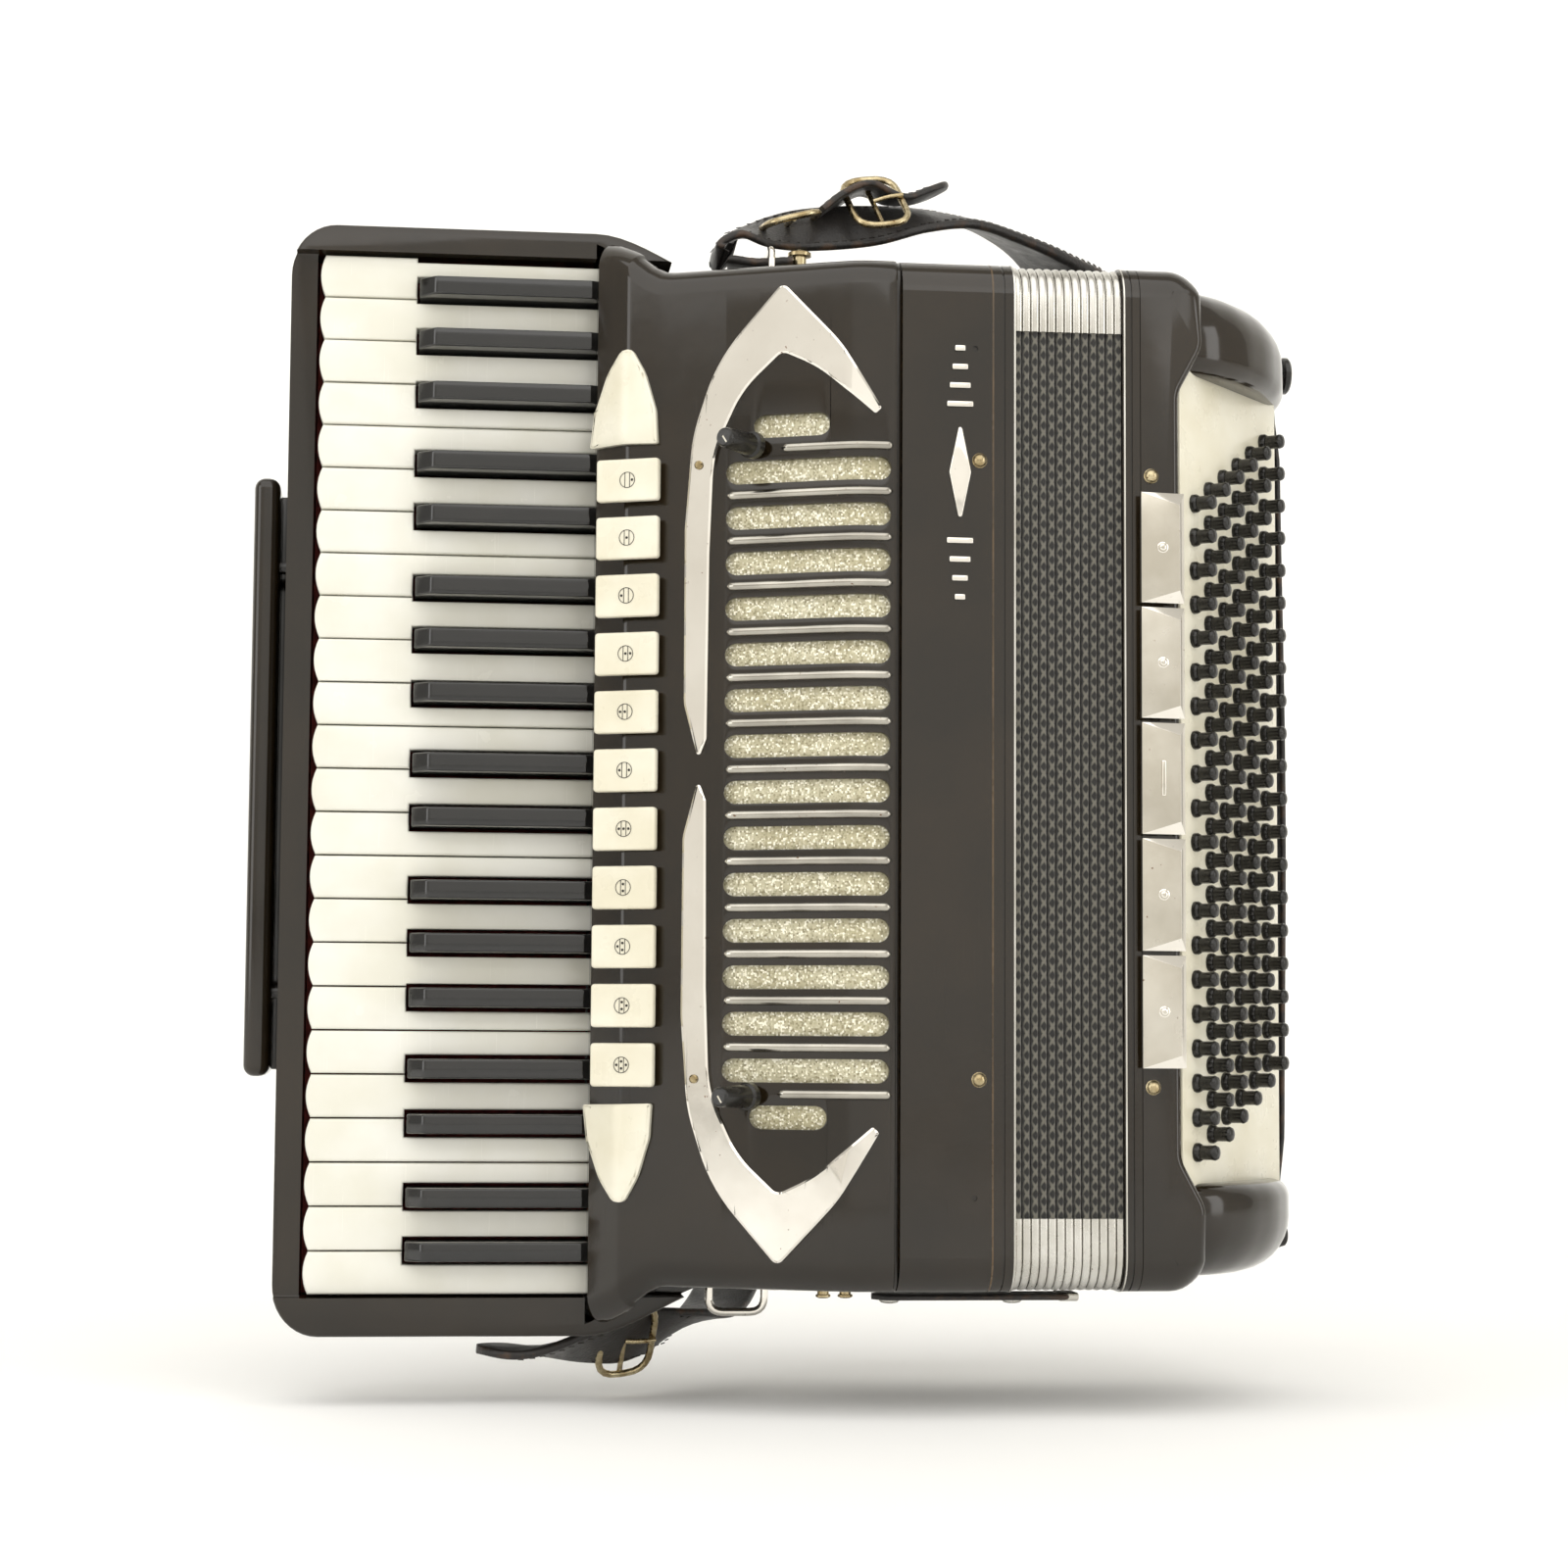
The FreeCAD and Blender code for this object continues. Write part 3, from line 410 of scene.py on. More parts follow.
def bevel(bm: Form, edges: Sequence[Edge], width: float, segments: int) -> None:
    """Round edges over."""
    bmesh.ops.bevel(bm, geom=edges, offset=width, offset_type="OFFSET", segments=segments, profile=0.5,
                    affect="EDGES", material=-1, clamp_overlap=True)


def sweep(bm: Form, rows: Sequence[Sequence[Vector]], ring: bool = False) -> list[list]:
    """Draw a line of edges from row to row by extruding it.

    Args:
        bm: the mesh that takes the surface.
        rows: rows of as many points each.
        ring: whether each row closes on itself.

    Returns:
        The vertices of every row.
    """
    verts = [bm.verts.new(p) for p in rows[0]]
    edges = [bm.edges.new(pair) for pair in zip(verts, verts[1:])]
    if ring:
        edges.append(bm.edges.new((verts[-1], verts[0])))
    made_rows = [verts]
    for row in rows[1:]:
        index = {v.co.copy().freeze(): i for i, v in enumerate(verts)}
        made = bmesh.ops.extrude_edge_only(bm, edges=edges)["geom"]
        verts = [None] * len(row)
        for item in made:
            if isinstance(item, Vert):
                verts[index[item.co.copy().freeze()]] = item
        for vert, place in zip(verts, row):
            vert.co = place
        edges = [item for item in made if isinstance(item, Edge)]
        made_rows.append(verts)
    return made_rows


def tube(bm: Form, rows: Sequence[Sequence[Vector]]) -> list[list]:
    """Sweep closed rows, close both ends, and return the rows of vertices."""
    made = sweep(bm, rows, ring=True)
    for end in (made[0], made[-1]):
        bm.faces.new(end)
    return made


def block(bm: Form, low: Sequence[float], high: Sequence[float], bevel: float = 0.0,
          segments: int = 2) -> list[Vert]:
    """Add a box between two corners, with its edges rounded."""
    size = Vector(high) - Vector(low)
    middle = (Vector(high) + Vector(low)) / 2
    place = Matrix.Translation(middle) @ Matrix.Diagonal((*size, 1.0))
    verts = bmesh.ops.create_cube(bm, size=1.0, matrix=place)["verts"]
    if bevel:
        edges = list({e for v in verts for e in v.link_edges})
        made = bmesh.ops.bevel(bm, geom=edges, offset=bevel, offset_type="OFFSET", segments=segments,
                               profile=0.5, affect="EDGES", material=-1)
        verts = list({v for f in made["faces"] for v in f.verts})
    return verts


def prism(bm: Form, outline: Sequence[Vector], depth: Vector) -> list[Face]:
    """Add a flat outline drawn out along a direction, and return its faces."""
    face = bm.faces.new([bm.verts.new(p) for p in outline])
    made = bmesh.ops.extrude_face_region(bm, geom=[face])["geom"]
    bmesh.ops.translate(bm, vec=depth, verts=[g for g in made if isinstance(g, Vert)])
    faces = {f for g in made if isinstance(g, Vert) for f in g.link_faces} | {face}
    bmesh.ops.recalc_face_normals(bm, faces=list(faces))
    return list(faces)


def lathe(bm: Form, outline: Path, place: Matrix, steps: int = 24) -> list[Face]:
    """Turn an outline of radius and height about the Z axis of a place.

    Args:
        bm: the mesh that takes the shape.
        outline: radius and height of each point, from one pole to the other.
        place: where the axis goes.
        steps: faces round the axis.

    Returns:
        The new faces.
    """
    before = set(bm.faces)
    verts = [bm.verts.new((r, 0.0, h)) for r, h in outline]
    edges = [bm.edges.new(pair) for pair in zip(verts, verts[1:])]
    bmesh.ops.spin(bm, geom=verts + edges, cent=(0, 0, 0), axis=(0, 0, 1), angle=2 * math.pi, steps=steps,
                   use_merge=True, use_duplicate=False)
    faces = [f for f in bm.faces if f not in before]
    made = list({v for f in faces for v in f.verts})
    bmesh.ops.remove_doubles(bm, verts=made, dist=1e-6)
    faces = [f for f in bm.faces if f not in before]
    bmesh.ops.recalc_face_normals(bm, faces=faces)
    bmesh.ops.transform(bm, matrix=place, verts=list({v for f in faces for v in f.verts}))
    return faces


def facing(start: Sequence[float], towards: Sequence[float]) -> Matrix:
    """A place whose Z axis points a given way."""
    return Matrix.Translation(Vector(start)) @ Vector(towards).to_track_quat("Z", "Y").to_matrix().to_4x4()


def soften(bm: Form, width: float, segments: int = 2, angle: float = 40.0,
           edges: Sequence[Edge] | None = None) -> None:
    """Bevel the edges that turn by more than an angle."""
    chosen = [e for e in (edges or bm.edges) if len(e.link_faces) == 2
              and e.calc_face_angle(0.0) > math.radians(angle)]
    bmesh.ops.bevel(bm, geom=chosen, offset=width, offset_type="OFFSET", segments=segments, profile=0.5,
                    affect="EDGES", material=-1, clamp_overlap=True)


def paint(faces: Sequence[Face], index: int) -> None:
    """Give faces one of their piece's materials."""
    for face in faces:
        face.material_index = index


def piece(name: str, bm: Form, body: str, finishes: Sequence[Finish],
          stands_for: Sequence[str] = (), crease: float = 35.0, ride: bool = True) -> bpy.types.Object:
    """Turn a bmesh into a finished piece.

    Args:
        name: the piece's name.
        bm: its mesh, which is freed.
        body: the CAD body it moves with.
        finishes: its materials, in the order of its faces' indices.
        stands_for: CAD nodes that it takes the place of.
        crease: edges that turn by more than this many degrees stay sharp.
        ride: whether it rides on its body now.

    Returns:
        The object.
    """
    bmesh.ops.remove_doubles(bm, verts=bm.verts, dist=2e-6)
    bmesh.ops.dissolve_degenerate(bm, edges=bm.edges, dist=1e-6)
    mesh = bpy.data.meshes.new(name)
    bm.to_mesh(mesh)
    bm.free()
    mesh.shade_smooth()
    mesh.set_sharp_from_angle(angle=math.radians(crease))
    made = bpy.data.objects.new(name, mesh)
    bpy.context.collection.objects.link(made)
    for finish in finishes:
        mesh.materials.append(finish.material())
    if ride:
        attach(made, body)
    if stands_for:
        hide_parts(*stands_for)
    LOG.info("%s: %d faces", name, len(mesh.polygons))
    return made


def carve(target: Form, cutter: Form) -> Form:
    """Cut one closed mesh out of another.

    Args:
        target: the mesh to cut, which is freed.
        cutter: the mesh to take away, which is freed.

    Returns:
        A new bmesh of the result.
    """
    objects = []
    for label, source in (("target", target), ("cutter", cutter)):
        mesh = bpy.data.meshes.new(label)
        source.to_mesh(mesh)
        source.free()
        objects.append(bpy.data.objects.new(label, mesh))
        bpy.context.collection.objects.link(objects[-1])
    change = objects[0].modifiers.new("cut", "BOOLEAN")
    change.operation, change.object, change.solver = "DIFFERENCE", objects[1], "EXACT"
    depsgraph = bpy.context.evaluated_depsgraph_get()
    result = bmesh.new()
    result.from_object(objects[0], depsgraph)
    for made in objects:
        mesh = made.data
        bpy.data.objects.remove(made)
        bpy.data.meshes.remove(mesh)
    return result


def dress(name: str, *finishes: Finish) -> None:
    """Give a CAD node that stays in view its materials."""
    slots = frame["nodes"][name].data.materials
    slots.clear()
    for finish in finishes:
        slots.append(finish.material())


def round_section(inset: float, radius: float) -> Path:
    """The casings' section in Y and Z, moved inwards, starting in the middle of the back."""
    low, high = corner("treble_casing", 0), corner("treble_casing", 1)
    y0, y1, z0, z1 = low.y + inset, high.y - inset, low.z + inset, high.z - inset
    middle = (z0 + z1) / 2
    return round_path([(y1, middle, 0), (y1, z1, radius), (y0, z1, radius), (y0, z0, radius),
                       (y1, z0, radius)], 6, closed=True)


def section_row(x: float, inset: float, radius: float) -> list[Vector]:
    """The casings' section at a place along X."""
    return [Vector((x, y, z)) for y, z in round_section(inset, radius)]


def lay_uv(bm: Form, rows: Sequence[Sequence[Vert]], along: Sequence[float], across: Sequence[float]) -> None:
    """Lay a swept surface flat on its UV map.

    Args:
        bm: the mesh.
        rows: the vertices of each row.
        along: the first UV coordinate of each vertex in a row.
        across: the second UV coordinate of each row.
    """
    layer = bm.loops.layers.uv.verify()
    place = {v: (u, w) for row, w in zip(rows, across) for v, u in zip(row, along)}
    for face in bm.faces:
        for loop in face.loops:
            if loop.vert in place:
                loop[layer].uv = place[loop.vert]


def smooth(t: float) -> float:
    """0 to 1 with level ends."""
    t = min(1.0, max(0.0, t))
    return t * t * (3 - 2 * t)


def strip_row(centre: Vector, along: Vector, face: Vector, width: float, thick: float) -> list[Vector]:
    """The rounded section of a flat strap."""
    across = along.cross(face).normalized()
    up = across.cross(along).normalized()
    corners = round_path([(-width / 2, -thick / 2, thick * 0.45), (width / 2, -thick / 2, thick * 0.45),
                          (width / 2, thick / 2, thick * 0.45), (-width / 2, thick / 2, thick * 0.45)], 3,
                         closed=True)
    return [centre + across * a + up * b for a, b in corners]


# ------------------------------------------------------------------ keyboard
@dataclass
class Keyboard:
    """The keys with their levers and pallets, and the body that they lie in."""
    names: str = "FGABCDE"
    white_count: int = 24
    sharp_shift: dict[str, float] = field(default_factory=lambda: {
        "F": 4.3 * MM, "G": 0.0, "A": -5.0 * MM, "C": 2.6 * MM, "D": -2.4 * MM})
    play: float = 0.7 * MM
    white_thick: float = 12.0 * MM
    white_edge: float = 1.3 * MM
    front_curve: float = 2.2 * MM
    black_width: float = 9.8 * MM
    notch: float = 6.3 * MM
    pallet_squeeze: float = 0.91
    body_edge: float = 7.0 * MM
    corner_round: float = 21.0 * MM

    def __post_init__(self) -> None:
        """Read the keyboard's extent from the model."""
        low, high = corner("keys_a", 0), corner("keys_f", 1)
        self.top = high.z + self.play / 2
        self.pitch = (self.top - low.z + self.play / 2) / self.white_count
        self.front = low.x
        self.black_front = corner("keys_c_sharp", 0).x
        axle = next(j for j in frame["joints"] if j["name"] == "keys_a_press")["pos_m"]
        self.axle_x, self.axle_y = axle[0], axle[1]
        self.back = self.axle_x + 8.0 * MM
        self.white_face = self.axle_y - 10.0 * MM
        self.black_face = self.white_face - 12.5 * MM
        self.under = self.white_face + self.white_thick

    def sharp_centre(self, i: int) -> float | None:
        """Z of the black key that follows a white key, or nothing."""
        name = self.names[i % 7]
        if not 0 <= i < self.white_count - 1 or name not in self.sharp_shift:
            return None
        return self.top - self.pitch * (i + 1) + self.sharp_shift[name]

    def action(self, bm: Form, z: float, reach: float) -> None:
        """Add the lever, its arm and the felted pallet of one key."""
        z = max(-233 * MM, min(233 * MM, z))
        end = self.pallet_squeeze * z
        lever = [Vector((self.back, self.axle_y - 2.5 * MM, z + s * 1.2 * MM)) for s in (-1, 1)]
        lever += [Vector((-33 * MM, self.axle_y - 2.5 * MM, end + s * 1.2 * MM)) for s in (1, -1)]
        paint(prism(bm, lever, Vector((0, 3.5 * MM, 0))), 1)
        seen = set(bm.faces)
        block(bm, (-34 * MM, reach - 3 * MM, end - 1.2 * MM), (-31 * MM, self.axle_y + MM, end + 1.2 * MM))
        block(bm, (-31.5 * MM, reach - 2 * MM, end - 1.2 * MM), (-19.5 * MM, reach + 2 * MM, end + 1.2 * MM))
        paint([f for f in bm.faces if f not in seen], 1)
        seen = set(bm.faces)
        block(bm, (-20 * MM, reach - 9 * MM, end - 4.2 * MM), (-15 * MM, reach + 9 * MM, end + 4.2 * MM))
        paint([f for f in bm.faces if f not in seen], 2)
        seen = set(bm.faces)
        block(bm, (-15 * MM, reach - 9 * MM, end - 4.2 * MM), (-13.4 * MM, reach + 9 * MM, end + 4.2 * MM))
        paint([f for f in bm.faces if f not in seen], 3)

    def white_key(self, bm: Form, i: int) -> None:
        """Add one white key with its notches."""
        high, low = self.top - self.pitch * i - self.play / 2, self.top - self.pitch * (i + 1) + self.play / 2
        above, below = self.sharp_centre(i - 1), self.sharp_centre(i)
        rear_high = min(high, 240 * MM) if above is None else above - self.notch
        rear_low = low if below is None else below + self.notch
        half, middle = (high - low) / 2, (high + low) / 2
        outline = [(self.front + self.front_curve * (t / 4) ** 2, middle + half * t / 4)
                   for t in range(-4, 5)]
        start = self.black_front - 1.2 * MM
        outline += [(start, high), (start, rear_high), (self.back, rear_high), (self.back, rear_low),
                    (start, rear_low), (start, low)]
        clean = [p for n, p in enumerate(outline) if (Vector(p) - Vector(outline[n - 1])).length > 1e-5]
        before = set(bm.faces)
        prism(bm, [Vector((x, self.white_face, z)) for x, z in clean], Vector((0, self.white_thick, 0)))
        fresh = [f for f in bm.faces if f not in before]
        top_edges = [e for f in fresh if abs(f.normal.y) > 0.9
                     and f.calc_center_median().y < self.white_face + MM for e in f.edges]
        bevel(bm, top_edges, self.white_edge, 3)
        block(bm, (self.axle_x - 7 * MM, self.under, rear_low), (self.back, self.under + 4.5 * MM, rear_high))
        self.action(bm, (rear_low + rear_high) / 2, -138 * MM)

    def black_key(self, bm: Form, z: float) -> None:
        """Add one black key: a sloped front, a flat polished top, and sides that lean in."""
        front, face = self.black_front, self.black_face
        side = round_path([(front, self.under, 0), (front, face + 8 * MM, 1.2 * MM),
                           (front + 7.5 * MM, face, 3.2 * MM), (self.front + 125.4 * MM, face, 1.2 * MM),
                           (self.front + 128.4 * MM, face + 1.5 * MM, 0), (self.back, face + 5.5 * MM, 0),
                           (self.back, self.under, 0)], 4)
        half = self.black_width / 2
        before = set(bm.faces)
        prism(bm, [Vector((x, y, z - half)) for x, y in side], Vector((0, 0, self.black_width)))
        fresh = [f for f in bm.faces if f not in before]
        for vert in {v for f in fresh for v in f.verts}:
            rise = max(0.0, (self.under - vert.co.y) / (self.under - face))
            vert.co.z = z + (vert.co.z - z) * (1.0 - 0.13 * rise)
        sides = [e for f in fresh if abs(f.normal.z) > 0.9 for e in f.edges
                 if max(v.co.y for v in e.verts) < self.under - MM]
        bevel(bm, sides, 0.9 * MM, 3)
        block(bm, (self.axle_x - 7 * MM, self.under, z - half), (self.back, self.under + 4.5 * MM, z + half))
        self.action(bm, z, -162 * MM)

    def build_keys(self) -> None:
        """Build one piece for each note's keys, as the bodies have them."""
        for note in self.names:
            bm = bmesh.new()
            for i in range(self.white_count):
                if self.names[i % 7] == note:
                    self.white_key(bm, i)
            name = "keys_" + note.lower()
            piece(name + "_white", bm, name, [IVORY, STEEL, SPRUCE, FELT], [name])
            if note not in self.sharp_shift:
                continue
            bm = bmesh.new()
            for i in range(self.white_count):
                if self.names[i % 7] == note and self.sharp_centre(i) is not None:
                    self.black_key(bm, self.sharp_centre(i))
            name += "_sharp"
            piece(name + "_black", bm, name, [KEY_BLACK, STEEL, SPRUCE, FELT], [name])

    def build_body(self) -> None:
        """Build the body: a plate with cheeks and a rail, wide beside the keys and drawn in to the casing."""
        low, high = corner("keyboard_body", 0), corner("keyboard_body", 1)
        case = corner("treble_casing", 1).z
        start, end, right = -142 * MM, -72 * MM, high.x
        steps = [start + (end - start) * i / 12 for i in range(13)]
        upper = [(x, high.z + (case - high.z) * smooth((x - start) / (end - start))) for x in steps]
        edge = upper + [(right, case)]
        turns = [math.pi / 20 * k for k in range(11)]
        corners = [(low.x + self.corner_round * (1 - math.cos(a)),
                    high.z - self.corner_round * 1.1 * (1 - math.sin(a))) for a in turns]
        outline = [(low.x, 0.0)] + corners + edge
        outline += [(x, -z) for x, z in reversed(outline[1:])]
        bm = bmesh.new()
        depth = high.y - low.y
        prism(bm, [Vector((x, low.y, z)) for x, z in outline], Vector((0, depth, 0)))
        rims = [e for f in bm.faces if abs(f.normal.y) > 0.9 and f.calc_center_median().y > high.y - MM
                for e in f.edges if max(v.co.x for v in e.verts) < right - MM]
        bevel(bm, rims, self.body_edge, 5)
        rims = [e for f in bm.faces if abs(f.normal.y) > 0.9 and f.calc_center_median().y < low.y + MM
                for e in f.edges]
        bevel(bm, rims, 2.2 * MM, 3)
        key_low = self.top - self.pitch * self.white_count
        pocket = bmesh.new()
        rail, bed = self.front - 1.6 * MM, self.under + 7 * MM
        block(pocket, (rail, low.y - 9 * MM, key_low - MM), (right + 9 * MM, bed, self.top + MM), 1.0 * MM)
        bm = carve(bm, pocket)
        pocket = bmesh.new()
        block(pocket, (low.x - 9 * MM, low.y - 9 * MM, key_low - MM),
              (rail + MM, low.y + 8 * MM, self.top + MM), 1.0 * MM)
        bm = carve(bm, pocket)
        pocket = bmesh.new()
        cover = corner("grille_cover", 0).x - 0.6 * MM
        grille = Grille()
        places = [cover + 3 * MM * k for k in range(12)] + [right + 9 * MM]
        line = [(x, grille.half(x) + 0.8 * MM) for x in places]
        line += [(x, -z) for x, z in reversed(line)]
        prism(pocket, [Vector((x, low.y - 9 * MM, z)) for x, z in line], Vector((0, -81.5 * MM - low.y, 0)))
        bmesh.ops.recalc_face_normals(pocket, faces=pocket.faces)
        bm = carve(bm, pocket)
        piece("keyboard_body_shell", bm, "body", [BLACK], ["keyboard_body"])
        bm = bmesh.new()
        block(bm, (rail + 0.4 * MM, bed - 0.5 * MM, key_low), (cover, bed + 0.6 * MM, self.top))
        piece("key_bed_felt", bm, "body", [FELT])

    def build_palm_bar(self) -> None:
        """Build the long bar at the outer edge, rounded like a pencil, with its two guide pins."""
        low, high = corner("palm_bar", 0), corner("palm_bar", 1)
        bm = bmesh.new()
        block(bm, low, (low.x + 12 * MM, high.y, high.z), 5.0 * MM, 5)
        for z in (-100 * MM, 100 * MM):
            reach = high.x - low.x - 11 * MM
            lathe(bm, [(0, 0), (3 * MM, 0), (3 * MM, reach), (0, reach)],
                  facing((low.x + 11 * MM, (low.y + high.y) / 2 + 2 * MM, z), (1, 0, 0)), 12)
        piece("palm_bar_round", bm, "palm_bar", [BLACK], ["palm_bar"])
        bm = bmesh.new()
        edge = corner("keyboard_body", 0).x
        block(bm, (low.x + 4 * MM, high.y + 0.5 * MM, low.z + 3 * MM),
              (edge + MM, high.y + 4 * MM, high.z - 3 * MM), 1.2 * MM, 3)
        piece("palm_bar_rest", bm, "body", [BLACK])

    def build(self) -> None:
        """Build the whole keyboard."""
        self.build_keys()
        self.build_body()
        self.build_palm_bar()


# ------------------------------------------------------------------ grille side
@dataclass
class GrilleSurface:
    """The cover's front, from the keys up the riser, over the register shelf and round to the flat front."""
    corners: tuple[tuple[float, float, float], ...] = (
        (-141.0, -131.0, 0.0), (-128.0, -147.2, 7.0), (-104.0, -157.5, 30.0), (-45.0, -183.0, 60.0),
        (-27.0, -190.0, 40.0), (-10.5, -190.0, 0.0))

    def __post_init__(self) -> None:
        """Round the profile once."""
        scaled = in_mm(self.corners)
        self.path = round_path(scaled, 8)

    def at(self, x: float) -> tuple[float, Vector]:
        """The surface's Y and its outward direction at a place along X."""
        for (x0, y0), (x1, y1) in zip(self.path, self.path[1:]):
            if x <= x1 or (x1, y1) == self.path[-1]:
                t = (x - x0) / (x1 - x0)
                normal = Vector((y1 - y0, -(x1 - x0))).normalized()
                return y0 + (y1 - y0) * t, Vector((normal.x, normal.y, 0.0))
        return self.path[-1][1], Vector((0, -1, 0))

    def drape(self, bm: Form, outline: Path, lift: float, thick: float, bevel: float,
              step: float = 3 * MM) -> None:
        """Lay a plate of a given X-Z outline on the surface.

        Args:
            bm: the mesh that takes it.
            outline: the plate's corners.
            lift: how far its underside stands off.
            thick: its thickness.
            bevel: the width of its bevelled edge.
            step: how often it is bent along X.
        """
        before = set(bm.faces)
        face = bm.faces.new([bm.verts.new((x, 0, z)) for x, z in outline])
        face.normal_update()
        if face.normal.y > 0:
            face.normal_flip()
        bmesh.ops.triangulate(bm, faces=[face])
        xs = [x for x, _ in outline]
        count = int((max(xs) - min(xs)) / step)
        for k in range(1, count + 1):
            part = [f for f in bm.faces if f not in before]
            geom = part + list({e for f in part for e in f.edges}) + list({v for f in part for v in f.verts})
            bmesh.ops.bisect_plane(bm, geom=geom, plane_co=(min(xs) + k * step, 0, 0), plane_no=(1, 0, 0))
        part = [f for f in bm.faces if f not in before]
        made = bmesh.ops.extrude_face_region(bm, geom=part, use_keep_orig=True)["geom"]
        raised = [g for g in made if isinstance(g, Face)]
        bmesh.ops.translate(bm, vec=(0, -(thick - bevel * 0.6), 0),
                            verts=[g for g in made if isinstance(g, Vert)])
        bmesh.ops.inset_region(bm, faces=raised, thickness=bevel, depth=0.0, use_even_offset=True)
        inner = {v for f in raised for v in f.verts}
        for vert in inner:
            vert.co.y = -thick
        fresh = [f for f in bm.faces if f not in before]
        for vert in {v for f in fresh for v in f.verts}:
            y, normal = self.at(vert.co.x)
            vert.co = Vector((vert.co.x, y, vert.co.z)) + normal * (lift - vert.co.y)
        bmesh.ops.recalc_face_normals(bm, faces=fresh)


@dataclass
class Grille:
    """The cover with its slots, the cloth behind them, the chrome on it and the two knobs."""
    slots: int = 16
    pitch: float = 20.7 * MM
    height: float = 10.5 * MM
    left: float = -84.0 * MM
    right: float = -12.0 * MM
    short_left: float = -72.0 * MM
    short_right: float = -39.0 * MM
    skin: float = 3.0 * MM
    end_radius: float = 13.0 * MM
    flare_from: float = -144.0 * MM
    flare_to: float = -113.0 * MM
    rod_radius: float = 2.1 * MM
    cloth_width: float = 83.3 * MM
    trim_thick: float = 2.5 * MM
    trim_bevel: float = 0.9 * MM
    knob_angle: float = 40.0
    knob_x: float = -70.0 * MM
    knob_y: float = -172.2 * MM
    surface: GrilleSurface = field(default_factory=GrilleSurface)

    def half(self, x: float) -> float:
        """Half height of the cover at a place along X."""
        wide, narrow = corner("grille_cover", 1).z, corner("treble_casing", 1).z - 0.2 * MM
        return wide + (narrow - wide) * smooth((x - self.flare_from) / (self.flare_to - self.flare_from))

    def solid(self, inset: float, base: float) -> Form:
        """Build the cover's outer form, or the hollow inside it, as one closed solid.

        Args:
            inset: how far inside the outer surface it lies.
            base: Y of its open side.

        Returns:
            The solid, with a step along its right edge where it meets the casing.
        """
        path = self.surface.path
        line: Path = []
        for a, b in zip(path, path[1:]):
            count = max(1, int((Vector(b) - Vector(a)).length / (5 * MM)))
            line += [(a[0] + (b[0] - a[0]) * k / count, a[1] + (b[1] - a[1]) * k / count)
                     for k in range(count)]
        edge, level = path[-1]
        line.append(path[-1])
        steps = [(1.0, 0.4), (1.4, 1.3), (1.5, 3.0), (3.1, 3.2)] if not inset else []
        line += [(edge + x * MM, level + y * MM) for x, y in steps]
        left, right = path[0][0] + inset, edge + (3.15 * MM if not inset else -1.2 * MM)
        radius = self.end_radius - inset
        turns = [math.pi / 12 * k for k in range(7)]
        rows = []
        for side, turn in [(1, t) for t in reversed(turns)] + [(-1, t) for t in turns]:
            sink = inset + radius * (1 - math.cos(turn))
            drop = inset + radius * (1 - math.sin(turn))
            row = [Vector((left, base, side * (self.half(left) - drop)))]
            for x, y in line:
                near = [self.surface.at(min(max(x + reach, left), edge))[1] for reach in (-0.016, 0.0, 0.016)]
                normal = (near[0] + near[1] + near[2]).normalized() if sink > self.skin else near[1]
                place = Vector((x, y, 0)) - normal * sink
                row.append(Vector((min(max(place.x, left), right), place.y, side * (self.half(x) - drop))))
            row.append(Vector((right, base, side * (self.half(right) - drop))))
            rows.append(row)
        nudge = Vector((0.02 * MM, 0, 0))
        ends = []
        for row in (rows[0], rows[-1]):
            level_row = [Vector((p.x, base, p.z)) for p in row]
            ends.append([level_row[0] - nudge] + level_row[1:-1] + [level_row[-1] + nudge])
        bm = bmesh.new()
        sweep(bm, [ends[0]] + rows + [ends[1]])
        bmesh.ops.remove_doubles(bm, verts=bm.verts, dist=0.04 * MM)
        bmesh.ops.holes_fill(bm, edges=[e for e in bm.edges if e.is_boundary], sides=0)
        outwards(bm)
        return bm

    def build_cover(self) -> None:
        """Build the cover: a glossy shell with rounded ends, and its slots."""
        base = corner("grille_cover", 1).y
        bm = carve(self.solid(0.0, base), self.solid(self.skin, base + 5 * MM))
        cutter = bmesh.new()
        for i in range(self.slots):
            short = i in (0, self.slots - 1)
            left, right = (self.short_left, self.short_right) if short else (self.left, self.right)
            z, r = self.slot_z(i), self.height / 2
            outline = round_path([(left, z - r, r * 0.98), (right, z - r, r * 0.98), (right, z + r, r * 0.98),
                                  (left, z + r, r * 0.98)], 8, closed=True)
            prism(cutter, [Vector((x, -0.21, w)) for x, w in outline], Vector((0, 0.08, 0)))
        bm = carve(bm, cutter)
        rims = [e for e in bm.edges if len(e.link_faces) == 2 and e.calc_face_angle(0.0) > 0.8
                and self.left - MM < (e.verts[0].co.x + e.verts[1].co.x) / 2 < self.right + MM
                and abs(e.verts[0].co.z) < 165 * MM
                and all(abs(v.co.y - self.surface.at(v.co.x)[0]) < 0.4 * MM for v in e.verts)]
        bevel(bm, rims, 0.6 * MM, 2)
        piece("grille_cover_shell", bm, "body", [BLACK], ["grille_cover"], crease=32)

    def slot_z(self, i: int) -> float:
        """Z of a slot, from the top down."""
        return (self.slots / 2 - 0.5 - i) * self.pitch

